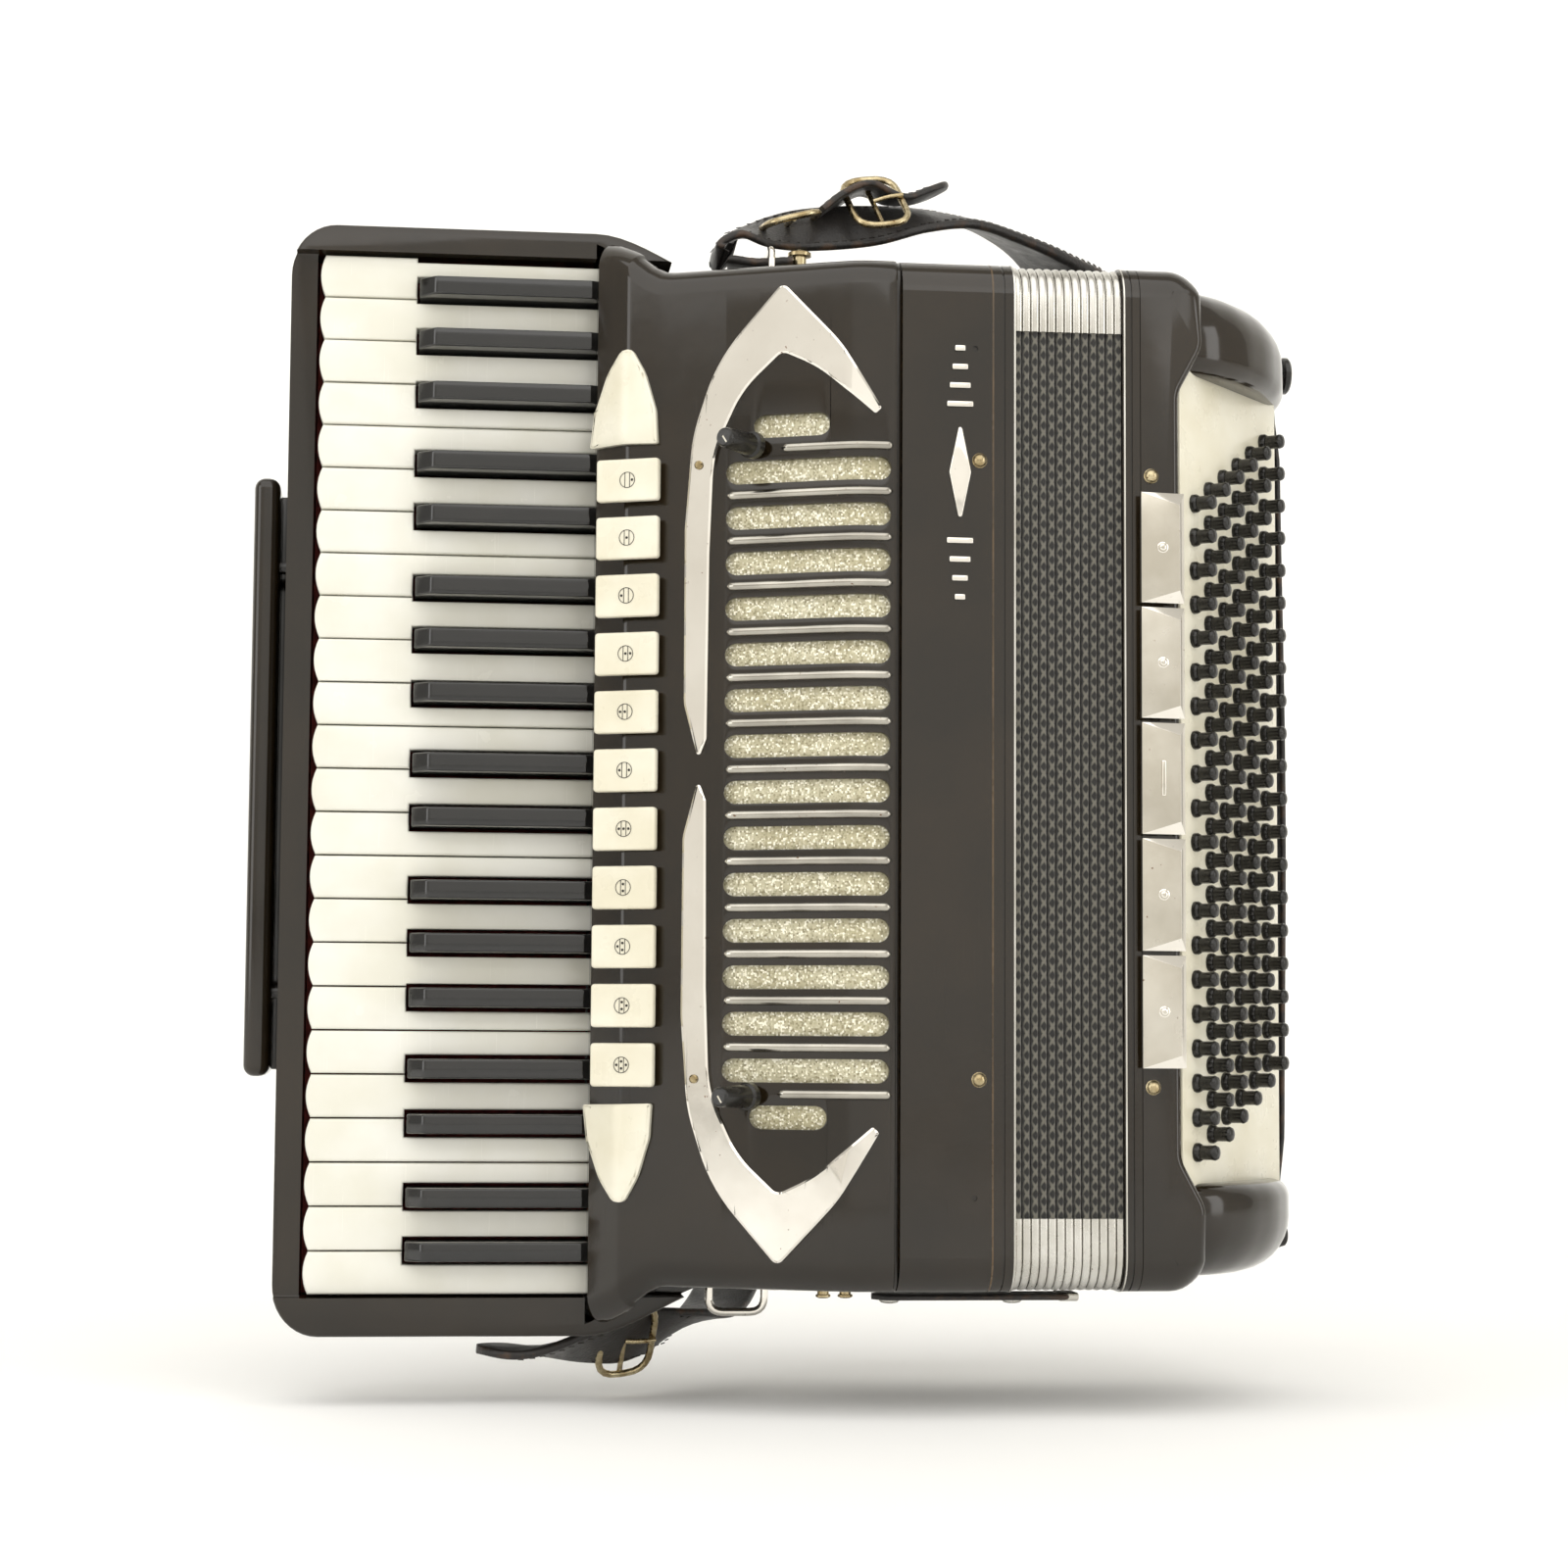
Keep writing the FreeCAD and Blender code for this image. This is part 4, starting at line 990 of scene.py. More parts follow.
    def build_cloth(self) -> None:
        """Build the cloth, stretched flat against the back of the cover."""
        bm = bmesh.new()
        reach = self.slots / 2 * self.pitch
        outline = [(self.left - 4 * MM, -reach), (self.right + 3 * MM, -reach), (self.right + 3 * MM, reach),
                   (self.left - 4 * MM, reach)]
        self.surface.drape(bm, outline, -self.skin - 1.0 * MM, 0.8 * MM, 0.1 * MM)
        cloth = piece("grille_cloth_sheet", bm, "body", [GLITTER], ["grille_cloth"])

    def build_rods(self) -> None:
        """Build the half-round rods between the slots, tapered at their ends."""
        for i in range(self.slots - 1):
            z = (self.slots / 2 - 1 - i) * self.pitch
            start = -60 * MM if i in (0, self.slots - 2) else self.left
            end = self.right + 1 * MM
            rows = []
            for k in range(31):
                t = k / 30
                x = start + (end - start) * t
                y, normal = self.surface.at(x)
                ends = min(1.0, math.sqrt(max(0.0, min(t, 1 - t) / 0.04)) + 0.15)
                rows.append([Vector((x, y, z)) + Vector((0, 0, 1)) * (self.rod_radius * ends * math.cos(a))
                             + normal * (self.rod_radius * ends * 0.95 * math.sin(a) + 0.05 * MM)
                             for a in (math.pi * m / 8 for m in range(9))])
            bm = bmesh.new()
            made = sweep(bm, rows, ring=True)
            bm.faces.new(made[0])
            bm.faces.new(made[-1])
            outwards(bm)
            piece("grille_rod_%02d" % (i + 1), bm, "body", [WIRE],
                  ["grille_chrome"] if i == 0 else [], crease=60)

    def build_trims(self) -> None:
        """Build the two boomerang trims: flat polished plates with a bevelled edge and a screw hole."""
        outer = [(-94.7, 4.5, 1), (-101.2, 30.0, 20), (-101.4, 110.0, 60), (-98.4, 152.0, 80),
                 (-87.9, 186.3, 80), (-59.3, 220.5, 3), (-34.0, 191.5, 60), (-16.8, 161.5, 1.2)]
        inner = [(-19.5, 158.8, 1), (-44.4, 181.2, 60), (-59.5, 188.8, 4), (-76.7, 172.0, 50),
                 (-89.0, 144.0, 60), (-90.6, 98.0, 60), (-91.2, 14.0, 1.5)]
        path = round_path(in_mm(outer + inner), 7, closed=True)
        for name, side in (("upper_trim", 1), ("lower_trim", -1)):
            outline = [(x, z * side) for x, z in path]
            bm = bmesh.new()
            self.surface.drape(bm, outline, 0.1 * MM, self.trim_thick, self.trim_bevel)
            piece(name, bm, "body", [CHROME], crease=25)
            bm = bmesh.new()
            y, normal = self.surface.at(-94 * MM)
            lathe(bm, [(0, 0), (2.0 * MM, 0), (2.0 * MM, 0.3 * MM), (1.4 * MM, 0.9 * MM), (0, 1.0 * MM)],
                  facing(Vector((-95.5 * MM, y, side * 138.5 * MM)) + normal * self.trim_thick, normal), 16)
            piece(name + "_screw", bm, "body", [BRASS])

    def build_caps(self) -> None:
        """Build the pointed cream caps above and below the registers."""
        corners = [(-127.0, 197.0, 3), (-119.5, 182.5, 30), (-114.6, 165.0, 12), (-113.8, 149.6, 1),
                   (-142.0, 150.6, 1), (-140.4, 166.0, 12), (-134.8, 184.0, 30)]
        path = round_path(in_mm(corners), 4, closed=True)
        for name, side in (("upper_register_cap", 1), ("lower_register_cap", -1)):
            bm = bmesh.new()
            self.surface.drape(bm, [(x, z * side) for x, z in path], 0.2 * MM, 3.4 * MM, 1.2 * MM, 2 * MM)
            piece(name, bm, "body", [CREAM], ["register_end_caps"] if side > 0 else [], crease=50)

    def build_knobs(self) -> None:
        """Build the two control knobs: a collar, a tapered handle and an engraved pointer."""
        turn = math.radians(self.knob_angle)
        axis = Vector((-math.sin(turn), -math.cos(turn), 0))
        for name in ("upper_knob", "lower_knob"):
            z = (corner(name, 0).z + corner(name, 1).z) / 2
            foot = Vector((self.knob_x, self.knob_y, z))
            bm = bmesh.new()
            outline = [(0, -10), (3, -10), (3, 3.2), (5.6, 3.2), (6.2, 3.8), (6.2, 7.2), (5.6, 8), (5.2, 8.4),
                       (5.0, 12), (4.5, 26.4), (4.1, 27.4), (3.4, 28), (0, 28)]
            lathe(bm, in_mm(outline), facing(foot, axis), 32)
            dark = set(bm.faces)
            side_way = UP.cross(axis)
            tip = foot + axis * 28 * MM
            made = block(bm, (-0.35 * MM, -3.0 * MM, -0.2 * MM), (0.35 * MM, 0.6 * MM, 0.12 * MM))
            place = Matrix.Translation(tip) @ axes(side_way, UP, axis)
            bmesh.ops.transform(bm, matrix=place @ Matrix.Rotation(0.6, 4, "Z"), verts=made)
            paint([f for f in bm.faces if f not in dark], 1)
            piece(name + "_turned", bm, name, [BUTTON, WHITE_INK], [name])

    def build(self) -> None:
        """Build everything on the grille side."""
        self.build_cover()
        self.build_cloth()
        self.build_rods()
        self.build_trims()
        self.build_caps()
        self.build_knobs()


class Voice(Enum):
    """A register's symbol: which of the three bands hold a dot, and how many in the middle one."""
    PICCOLO = (1, 0, 0)
    CLARINET = (0, 1, 0)
    BASSOON = (0, 0, 1)
    OBOE = (1, 1, 0)
    BANDONEON = (0, 1, 1)
    ORGAN = (1, 0, 1)
    HARMONIUM = (1, 1, 1)
    VIOLIN = (0, 2, 0)
    ACCORDION = (0, 2, 1)
    MUSETTE = (1, 2, 0)
    MASTER = (1, 2, 1)


@dataclass
class Registers:
    """The rocking tabs along the grille, each with a circle of dots."""
    shelf: tuple[float, float] = (-128.0 * MM, -147.0 * MM)
    slope: float = 23.6
    length: float = 30.0 * MM
    thick: float = 5.0 * MM
    lift: float = 3.2 * MM
    dish: float = 0.8 * MM
    edge: float = 1.6 * MM
    ring: float = 3.7 * MM
    line: float = 0.28 * MM
    dot: float = 0.62 * MM

    def place(self, z: float) -> Matrix:
        """A tab's own axes: X along the shelf, Y up the keyboard, Z off the shelf."""
        turn = math.radians(self.slope)
        along = Vector((math.cos(turn), -math.sin(turn), 0))
        off = Vector((-math.sin(turn), -math.cos(turn), 0))
        spin = axes(along, UP, off)
        return Matrix.Translation(Vector((*self.shelf, z))) @ spin

    def symbol(self, bm: Form, voice: Voice) -> None:
        """Engrave a circle with two lines and its dots, in the tab's own axes."""
        middle = Vector((18 * MM - self.length / 2, 0, 0))
        top = self.lift + self.thick - self.dish + 0.1 * MM
        spots = []
        for band, count in zip((1, 0, -1), voice.value):
            spots += [(0.0, band)] if count == 1 else [(-0.42, band), (0.42, band)][:count]
        parts = [(0.0, 0.0, self.ring, self.ring - self.line)]
        parts += [(u * self.ring, b * self.ring * 0.62, self.dot, 0.0) for u, b in spots]
        for u, w, outer, inner in parts:
            path = [(inner, 0), (outer, 0), (outer, 0.12 * MM), (inner, 0.12 * MM)]
            if not inner:
                path = [(0, 0), (outer, 0), (outer, 0.12 * MM), (0, 0.12 * MM)]
            ring = lathe(bm, path + ([path[0]] if inner else []),
                         Matrix.Translation(middle + Vector((w, -u, top))), 20 if inner else 8)
            paint(ring, 1)
        for side in (-1, 1):
            seen = set(bm.faces)
            x, reach = middle.x + side * self.ring * 0.31, self.ring * 0.94
            block(bm, (x - self.line / 2, -reach, top), (x + self.line / 2, reach, top + 0.1 * MM))
            paint([f for f in bm.faces if f not in seen], 1)

    def tab(self, name: str, voice: Voice) -> None:
        """Build one tab: rounded edges, a dished top, and the lug that it rocks on."""
        low, high = corner(name, 0), corner(name, 1)
        half = (high.z - low.z) / 2
        bm = bmesh.new()
        block(bm, (18 * MM - self.length, -half, self.lift), (18 * MM, half, self.lift + self.thick),
              self.edge, 4)
        for k in range(1, 12):
            x = 18 * MM - self.length * k / 12
            bmesh.ops.bisect_plane(bm, geom=bm.verts[:] + bm.edges[:] + bm.faces[:], plane_co=(x, 0, 0),
                                   plane_no=(1, 0, 0))
        for k in range(1, 6):
            bmesh.ops.bisect_plane(bm, geom=bm.verts[:] + bm.edges[:] + bm.faces[:],
                                   plane_co=(0, -half + 2 * half * k / 6, 0), plane_no=(0, 1, 0))
        top = self.lift + self.thick
        for vert in bm.verts:
            if vert.co.z > top - 0.3 * MM:
                u = abs(vert.co.x - 18 * MM + self.length / 2) / (self.length / 2)
                v = abs(vert.co.y) / half
                vert.co.z -= self.dish * max(0.0, 1 - u ** 2.5) * max(0.0, 1 - v ** 4)
        block(bm, (10.5 * MM, -2.5 * MM, -8 * MM), (13.5 * MM, 2.5 * MM, self.lift + 0.5 * MM))
        self.symbol(bm, voice)
        bmesh.ops.transform(bm, matrix=self.place((low.z + high.z) / 2), verts=bm.verts)
        piece(name + "_dished", bm, name, [CREAM, INK], [name], crease=40)

    def build(self) -> None:
        """Build all the tabs, from the top down."""
        for i, voice in enumerate(Voice):
            self.tab("register_tab_%02d" % (i + 1), voice)


@dataclass
class TrebleFront:
    """What lies on the treble casing: its frame, pins, studs, inlaid lines and a plain ornament."""
    inlay: float = 0.8 * MM

    def ring(self, name: str, x: float, width: float, proud: float, body: str, finish: Finish) -> None:
        """Build a thin line that runs right round the casing."""
        profile = [(x, 1.5 * MM), (x, -proud), (x + width, -proud), (x + width, 1.5 * MM)]
        rows = [section_row(a, inset, 16 * MM - inset) for a, inset in profile]
        bm = bmesh.new()
        sweep(bm, rows + [rows[0]], ring=True)
        bmesh.ops.remove_doubles(bm, verts=bm.verts, dist=1e-6)
        outwards(bm)
        piece(name, bm, body, [finish], crease=50)

    def ornament(self) -> None:
        """Build a plain upright ornament in chrome: a slim lozenge between two rows of bars."""
        front = corner("treble_casing", 0).y
        bm = bmesh.new()
        lozenge = [(19.0, 158.0, 1), (24.0, 133.5, 2), (19.0, 109.0, 1), (14.0, 133.5, 2)]
        path = round_path(in_mm(lozenge), 4, closed=True)
        prism(bm, [Vector((x, front - 0.05 * MM, z)) for x, z in path], Vector((0, -1.6 * MM, 0)))
        for side in (1, -1):
            for k in range(4):
                z = 133.5 * MM + side * (31 + 8.5 * k) * MM
                reach = (6.0 - 1.2 * k) * MM
                block(bm, (19 * MM - reach, front - 1.5 * MM, z - 1.3 * MM),
                      (19 * MM + reach, front - 0.05 * MM, z + 1.3 * MM))
        soften(bm, 0.45 * MM, 2, 50)
        piece("casing_ornament", bm, "body", [CHROME], crease=50)

    def pin(self, bm: Form, x: float, z: float, radius: float = 3.4 * MM) -> None:
        """Add a domed pin with a collar."""
        outline = [(0, 0), (radius, 0), (radius, 0.5 * MM), (radius * 0.86, 0.9 * MM),
                   (radius * 0.8, 1.6 * MM), (radius * 0.55, 2.4 * MM), (radius * 0.25, 2.8 * MM),
                   (0, 2.9 * MM)]
        front = corner("treble_casing", 0).y
        lathe(bm, outline, facing((x, front, z), (0, -1, 0)), 20)

    def fittings(self) -> None:
        """Build the pins, studs and strap posts that ride on the treble side."""
        bm = bmesh.new()
        for z in (139 * MM, -138 * MM):
            self.pin(bm, 28 * MM, z)
        case = corner("treble_casing", 1).z
        for x, side in ((0, 1), (23, 1), (-36, -1), (-26, -1)):
            outline = [(0, 0), (4, 0), (4, 0.8), (2.6, 1.2), (2.6, 2.6), (3.4, 3.0), (3.4, 3.8), (2.2, 4.4),
                       (0, 4.6)]
            lathe(bm, in_mm(outline),
                  facing((x * MM, -150 * MM, side * case), (0, 0, side)), 20)
        for y, side, height in ((-120, 1, 17), (-40, -1, 8)):
            start = (-46 * MM, y * MM, side * case)
            outline = [(0, 0), (11, 0), (11, 1.6), (9.5, 2.4), (4.2, 2.6), (3.2, 3.6), (3.2, height - 2),
                       (5.5, height - 1.6), (5.5, height), (4, height + 1), (0, height + 1)]
            lathe(bm, in_mm(outline), facing(start, (0, 0, side)), 28)
        piece("treble_pins_and_posts", bm, "body", [BRASS], ["treble_fittings"])

    def build(self) -> None:
        """Build the front of the treble side, and dress the casing and what it holds."""
        dress("treble_casing", BLACK)
        dress("treble_bellows_frame", BLACK)
        dress("key_and_register_axles", BLUED)
        dress("treble_soundboard", SPRUCE)
        dress("treble_reed_blocks", SPRUCE)
        x = corner("treble_casing", 1).x
        self.ring("treble_casing_line", x - 0.2 * MM, self.inlay, 0.15 * MM, "body", LINE)
        self.ring("treble_frame_line", corner("treble_bellows_frame", 1).x - 0.6 * MM, self.inlay, 0.25 * MM,
                  "body", NICKEL)
        self.ornament()
        self.fittings()


@dataclass
class Bellows:
    """Thirteen folds of lined card with plated corners on every ridge."""
    folds: int = 13
    ridge: float = 1.2 * MM
    valley: float = 20.0 * MM
    tape: float = 0.62
    corner_from: float = 199.0 * MM
    corner_proud: float = 0.7 * MM
    corner_width: float = 0.46
    corner_depth: float = 4.5 * MM

    def edges(self) -> tuple[float, float]:
        """The X of the first and the last fold's outer edge."""
        return corner("treble_bellows_frame", 1).x - 0.3 * MM, corner("bass_bellows_frame", 0).x + 0.3 * MM

    def rounding(self, inset: float) -> float:
        """The section's corner radius at an inset."""
        return max(3.0 * MM, 17 * MM - inset)

    def fold(self, k: int) -> None:
        """Build one fold from valley to valley."""
        first, last = self.edges()
        pitch = (last - first) / self.folds
        x0 = first + pitch * k
        bm = bmesh.new()
        profile = [(0.0, self.valley), (0.5 - self.tape / 2 - 0.08, self.ridge + 1.9 * MM),
                   (0.5 - self.tape / 2, self.ridge + 0.55 * MM),
                   (0.5 - self.tape / 3, self.ridge + 0.1 * MM),
                   (0.5, self.ridge)]
        profile += [(1 - u, inset) for u, inset in reversed(profile[:-1])]
        sections = [section_row(x0 + u * pitch, inset, self.rounding(inset)) for u, inset in profile]
        rows = sweep(bm, [row + [row[0] + Vector((0, 0, 1e-5))] for row in sections])
        lengths, total = [0.0], 0.0
        for a, b in zip(sections[4], sections[4][1:] + sections[4][:1]):
            total += (b - a).length / MM
            lengths.append(total)
        across, spread = [0.0], 0.0
        for (u0, i0), (u1, i1) in zip(profile, profile[1:]):
            spread += math.hypot((u1 - u0) * pitch, i1 - i0) / MM
            across.append(spread)
        lay_uv(bm, rows, lengths, [a - spread / 2 + (2.5 if k % 2 else 0.0) for a in across])
        outwards(bm)
        lowest = min(bm.faces, key=lambda f: f.calc_center_median().y)
        if lowest.normal.y > 0:
            bmesh.ops.reverse_faces(bm, faces=bm.faces)
        made = piece("bellows_fold_%02d" % (k + 1), bm, "", [FOLDS], ["bellows"] if k == 0 else [], 30, False)
        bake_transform(made)

    def corners(self, k: int) -> None:
        """Build one ridge's four plated corners."""
        first, last = self.edges()
        pitch = (last - first) / self.folds
        middle = first + pitch * (k + 0.5)
        half = pitch * self.corner_width
        inset = self.ridge - self.corner_proud
        profile = [(-half, self.corner_depth), (-half, inset + 0.9 * MM), (-half * 0.62, inset + 0.2 * MM),
                   (0.0, inset), (half * 0.62, inset + 0.2 * MM), (half, inset + 0.9 * MM),
                   (half, self.corner_depth)]
        bm = bmesh.new()
        sweep(bm, [section_row(middle + x, i, self.rounding(i)) for x, i in profile], ring=True)
        outwards(bm)
        for z in (-self.corner_from, self.corner_from):
            bmesh.ops.bisect_plane(bm, geom=bm.verts[:] + bm.edges[:] + bm.faces[:], plane_co=(0, 0, z),
                                   plane_no=(0, 0, 1))
        y0, y1 = corner("treble_casing", 0).y, corner("treble_casing", 1).y
        depth = 230 * MM - self.corner_from
        for y in (y0 + depth, y1 - depth):
            bmesh.ops.bisect_plane(bm, geom=bm.verts[:] + bm.edges[:] + bm.faces[:], plane_co=(0, y, 0),
                                   plane_no=(0, 1, 0))
        spare = [f for f in bm.faces if abs(f.calc_center_median().z) < self.corner_from
                 or y0 + depth < f.calc_center_median().y < y1 - depth]
        bmesh.ops.delete(bm, geom=spare, context="FACES")
        bmesh.ops.solidify(bm, geom=list(bm.faces), thickness=0.35 * MM)
        made = piece("bellows_corners_%02d" % (k + 1), bm, "", [NICKEL], crease=40, ride=False)
        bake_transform(made)

    def build(self) -> None:
        """Build every fold."""
        for k in range(self.folds):
            self.fold(k)
            self.corners(k)


# ------------------------------------------------------------------ bass side
def inset_loop(points: Path, amounts: Sequence[float]) -> Path:
    """Move each point of a closed, anticlockwise outline inwards by its own amount."""
    moved = []
    count = len(points)
    for i, (point, amount) in enumerate(zip(points, amounts)):
        here = Vector(point)
        back = (here - Vector(points[i - 1])).normalized()
        ahead = (Vector(points[(i + 1) % count]) - here).normalized()
        way = back + ahead
        inward = Vector((-way.y, way.x)).normalized()
        share = max(0.5, abs(inward.dot(Vector((-back.y, back.x)))))
        moved.append(tuple(here + inward * (amount / share)))
    return moved


def closed_stack(bm: Form, rows: Sequence[Sequence[Vector]]) -> None:
    """Join closed rows into one solid with flat ends."""
    seen = set(bm.faces)
    made = sweep(bm, rows, ring=True)
    for end in (made[0], made[-1]):
        bm.faces.new(end)
    bmesh.ops.recalc_face_normals(bm, faces=[f for f in bm.faces if f not in seen])


class Mark(Enum):
    """What stands on a bass register."""
    DOT = "dot"
    BAR = "bar"


@dataclass
class BassSide:
    """The bass casing with its horns, the button board, the buttons, the registers and the hand strap."""
    left: float = 101.9 * MM
    shoulder: float = 131.0 * MM
    window: float = 119.7 * MM
    window_half: float = 186.0 * MM
    big_round: float = 16.0 * MM
    edge_round: float = 3.6 * MM
    horn_top: float = 226.5 * MM
    horn_round: float = 25.0 * MM
    horn_under: float = 9.0 * MM
    side: float = 188.5 * MM
    board_start: tuple[float, float] = (121.0 * MM, -186.0 * MM)
    board_end: tuple[float, float] = (186.0 * MM, -109.2 * MM)
    board_thick: float = 3.0 * MM
    rows: int = 20
    row_pitch: float = 15.5 * MM
    column_pitch: float = 14.6 * MM
    first_column: float = 13.0 * MM
    top_row: float = 164.4 * MM
    stagger: float = 8.0 * MM
    flange: float = 4.3 * MM
    button: float = 3.4 * MM
    proud: float = 11.2 * MM

    def block_rows(self) -> list[list[Vector]]:
        """The front block: soft along its top and bottom, crisper round the window."""
        half = corner("treble_casing", 1).z
        upper = [(self.window, 0.0, 0), (self.window, 173.0 * MM, 15 * MM),
                 (self.shoulder, 194.0 * MM, 15 * MM),
                 (self.shoulder, half, 17 * MM), (self.left, half, 0)]
        lower = [(x, -z, r) for x, z, r in reversed(upper[1:])]
        outline = round_path(upper + lower, 8, closed=True)
        soft = [self.edge_round
                + (self.big_round - self.edge_round) * smooth((abs(z) - half + 20 * MM) / (20 * MM))
                if x > self.left + MM else self.big_round for x, z in outline]
        rows = []
        front, back = corner("treble_casing", 0).y, corner("treble_casing", 1).y
        for face, way in ((front, 1), (back, -1)):
            turns = [math.pi / 14 * k for k in range(8)]
            for turn in (reversed(turns) if way > 0 else turns):
                amounts = [r * (1 - math.cos(turn)) for r in soft]
                moved = inset_loop(outline, amounts)
                moved = [(x0, z0 - math.copysign(a, z0)) if x0 < self.left + MM else (x, z)
                         for (x0, z0), (x, z), a in zip(outline, moved, amounts)]
                rows.append([Vector((x, face + way * r * (1 - math.sin(turn)), z))
                             for (x, z), r in zip(moved, soft)])
        return rows

    def horn_rows(self, side: int) -> list[list[Vector]]:
        """One horn: a fat rounded shape that follows the slope of the board and turns down the side."""
        line = [(112.0, 0.0, 0), (112.0, -183.2, 0), (135.4, -182.6, 40), (156.6, -168.2, 70),
                (173.4, -149.2, 80),
                (185.0, -126.8, 80), (192.2, -102.0, 80), (195.0, -80.0, 60), (195.0, 0.0, 27)]
        outline = round_path(in_mm(line), 6, closed=True)
        fixed = [0.0 if x < 113 * MM else 1.0 for x, _ in outline]
        rows = []
        stations = [(math.pi / 12 * k, self.horn_under, 1) for k in range(6, -1, -1)]
        stations += [(math.pi / 16 * k, self.horn_round, -1) for k in range(9)]
        for turn, radius, way in stations:
            base = self.window_half - 2 * MM if way > 0 else self.horn_top
            z = base + way * radius * (1 - math.sin(turn))
            moved = inset_loop(outline, [f * radius * (1 - math.cos(turn)) for f in fixed])
            rows.append([Vector((x, y, side * z)) for x, y in moved])
        return rows

    def build_casing(self) -> None:
        """Build the block, the two horns and the core behind the board as one piece."""
        bm = bmesh.new()
        closed_stack(bm, self.block_rows())
        for side in (1, -1):
            closed_stack(bm, self.horn_rows(side))
        core = [(104.0, 0.0, 0), (104.0, -176.0, 0), (118.0, -176.0, 0), (121.0, -168.0, 0),
                (178.0, -97.0, 0), (183.0, -106.5, 0), (187.5, -103.0, 1), (188.5, -96.0, 4), (188.5, 0.0, 12)]
        outline = round_path(in_mm(core), 5, closed=True)
        reach = self.window_half + 8 * MM
        closed_stack(bm, [[Vector((x, y, z)) for x, y in outline] for z in (-reach, reach)])
        piece("bass_casing_shell", bm, "bass_side", [BLACK], ["bass_casing"], crease=32)

    def slope(self) -> tuple[Vector, Vector, Vector]:
        """The board's start, its direction and the way its buttons point."""
        start, end = Vector((*self.board_start, 0)), Vector((*self.board_end, 0))
        along = (end - start).normalized()
        return start, along, Vector((-along.y, along.x, 0)) * -1

    def build_board(self) -> None:
        """Build the cream board and the black flange round each button."""
        start, along, out = self.slope()
        length = (Vector(self.board_end) - Vector(self.board_start)).length
        place = Matrix.Translation(start) @ axes(along, UP, out)
        bm = bmesh.new()
        reach = self.window_half + 1.5 * MM
        made = block(bm, (0, -reach, -self.board_thick), (length, reach, 0), 0.7 * MM, 3)
        bmesh.ops.transform(bm, matrix=place, verts=made)
        outwards(bm)
        piece("button_board_slab", bm, "bass_side", [CREAM], ["button_board"])
        bm = bmesh.new()
        outline = [(self.button + 0.15 * MM, -0.3 * MM), (self.flange, -0.3 * MM), (self.flange, 1.7 * MM),
                   (self.flange - 0.8 * MM, 2.9 * MM), (self.button + 0.15 * MM, 2.9 * MM)]
        for column in range(6):
            for row in range(self.rows):
                foot = self.seat(column, row)
                ring = lathe(bm, outline + [outline[0]], facing(foot, out), 12)
                paint(ring, 0)
        piece("button_flanges", bm, "bass_side", [BUTTON], crease=50)

    def seat(self, column: int, row: int) -> Vector:
        """Where a button meets the board."""
        start, along, _ = self.slope()
        z = self.top_row - self.stagger * (5 - column) - self.row_pitch * row
        return start + along * (self.first_column + self.column_pitch * column) + Vector((0, 0, z))

    def build_buttons(self) -> None:
        """Build the six columns of buttons: straight, with a domed end and a thin stem."""
        _, _, out = self.slope()
        r, top = self.button, self.proud
        outline = [(0, -4.4 * MM), (1.7 * MM, -4.4 * MM), (1.7 * MM, 3.1 * MM), (r - 0.1 * MM, 3.1 * MM),
                   (r - 0.15 * MM, top - 3 * MM), (r + 0.1 * MM, top - 1.9 * MM),
                   (r - 0.5 * MM, top - 0.6 * MM),
                   (r - 1.6 * MM, top - 0.1 * MM), (0, top)]
        for column in range(6):
            bm = bmesh.new()
            for row in range(self.rows):
                lathe(bm, outline, facing(self.seat(column, row), out), 12)
            name = "bass_buttons_%d" % (column + 1)
            piece(name + "_turned", bm, name, [BUTTON], [name], crease=45)

    def register(self, name: str, mark: Mark) -> None:
        """Build one register: a plate whose two ends fall away in long triangles, on two stems."""
        low, high = corner(name, 0), corner(name, 1)
        middle, half = (low.z + high.z) / 2, (high.z - low.z) / 2
        face, rear = low.y, low.y + 3.2 * MM
        fall, lean, drop = 5.6 * MM, 2.6 * MM, 2.9 * MM
        bm = bmesh.new()
        ridge = [Vector((low.x, face, middle - half)), Vector((low.x, face, middle + half)),
                 Vector((high.x - lean, face, middle + half - fall)),
                 Vector((high.x - lean, face, middle - half + fall))]
        rim = [Vector((low.x, face + 0.1 * MM, middle - half)),
               Vector((low.x, face + 0.1 * MM, middle + half)),
               Vector((high.x, face + drop, middle + half)), Vector((high.x, face + drop, middle - half))]
        foot = [Vector((p.x, rear, p.z)) for p in rim]
        closed_stack(bm, [ridge, rim, foot])
        soften(bm, 0.35 * MM, 2, 8)
        for z in (-14 * MM, 14 * MM):
            lathe(bm, [(0, 0), (2 * MM, 0), (2 * MM, 7 * MM), (0, 7 * MM)],
                  facing(((low.x + high.x) / 2, rear - MM, middle + z), (0, 1, 0)), 12)
        centre = Vector(((low.x + high.x) / 2 - 0.4 * MM, face, middle))
        if mark is Mark.DOT:
            dome = [(0, -0.5), (2.5, -0.5), (2.5, 0.15), (2.1, 0.35), (1.7, 0.4), (1.5, 0.9), (0.9, 1.3),
                    (0, 1.45)]
            lathe(bm, in_mm(dome), facing(centre, (0, -1, 0)), 20)
        else:
            block(bm, (centre.x - MM, face - 1.0 * MM, middle - 8 * MM),
                  (centre.x + MM, face + MM, middle + 8 * MM), 0.5 * MM, 2)
        paint([f for f in bm.faces if f.normal.y > -0.985], 1)
        piece(name + "_plate", bm, name, [SATIN, CHROME], [name], crease=30)

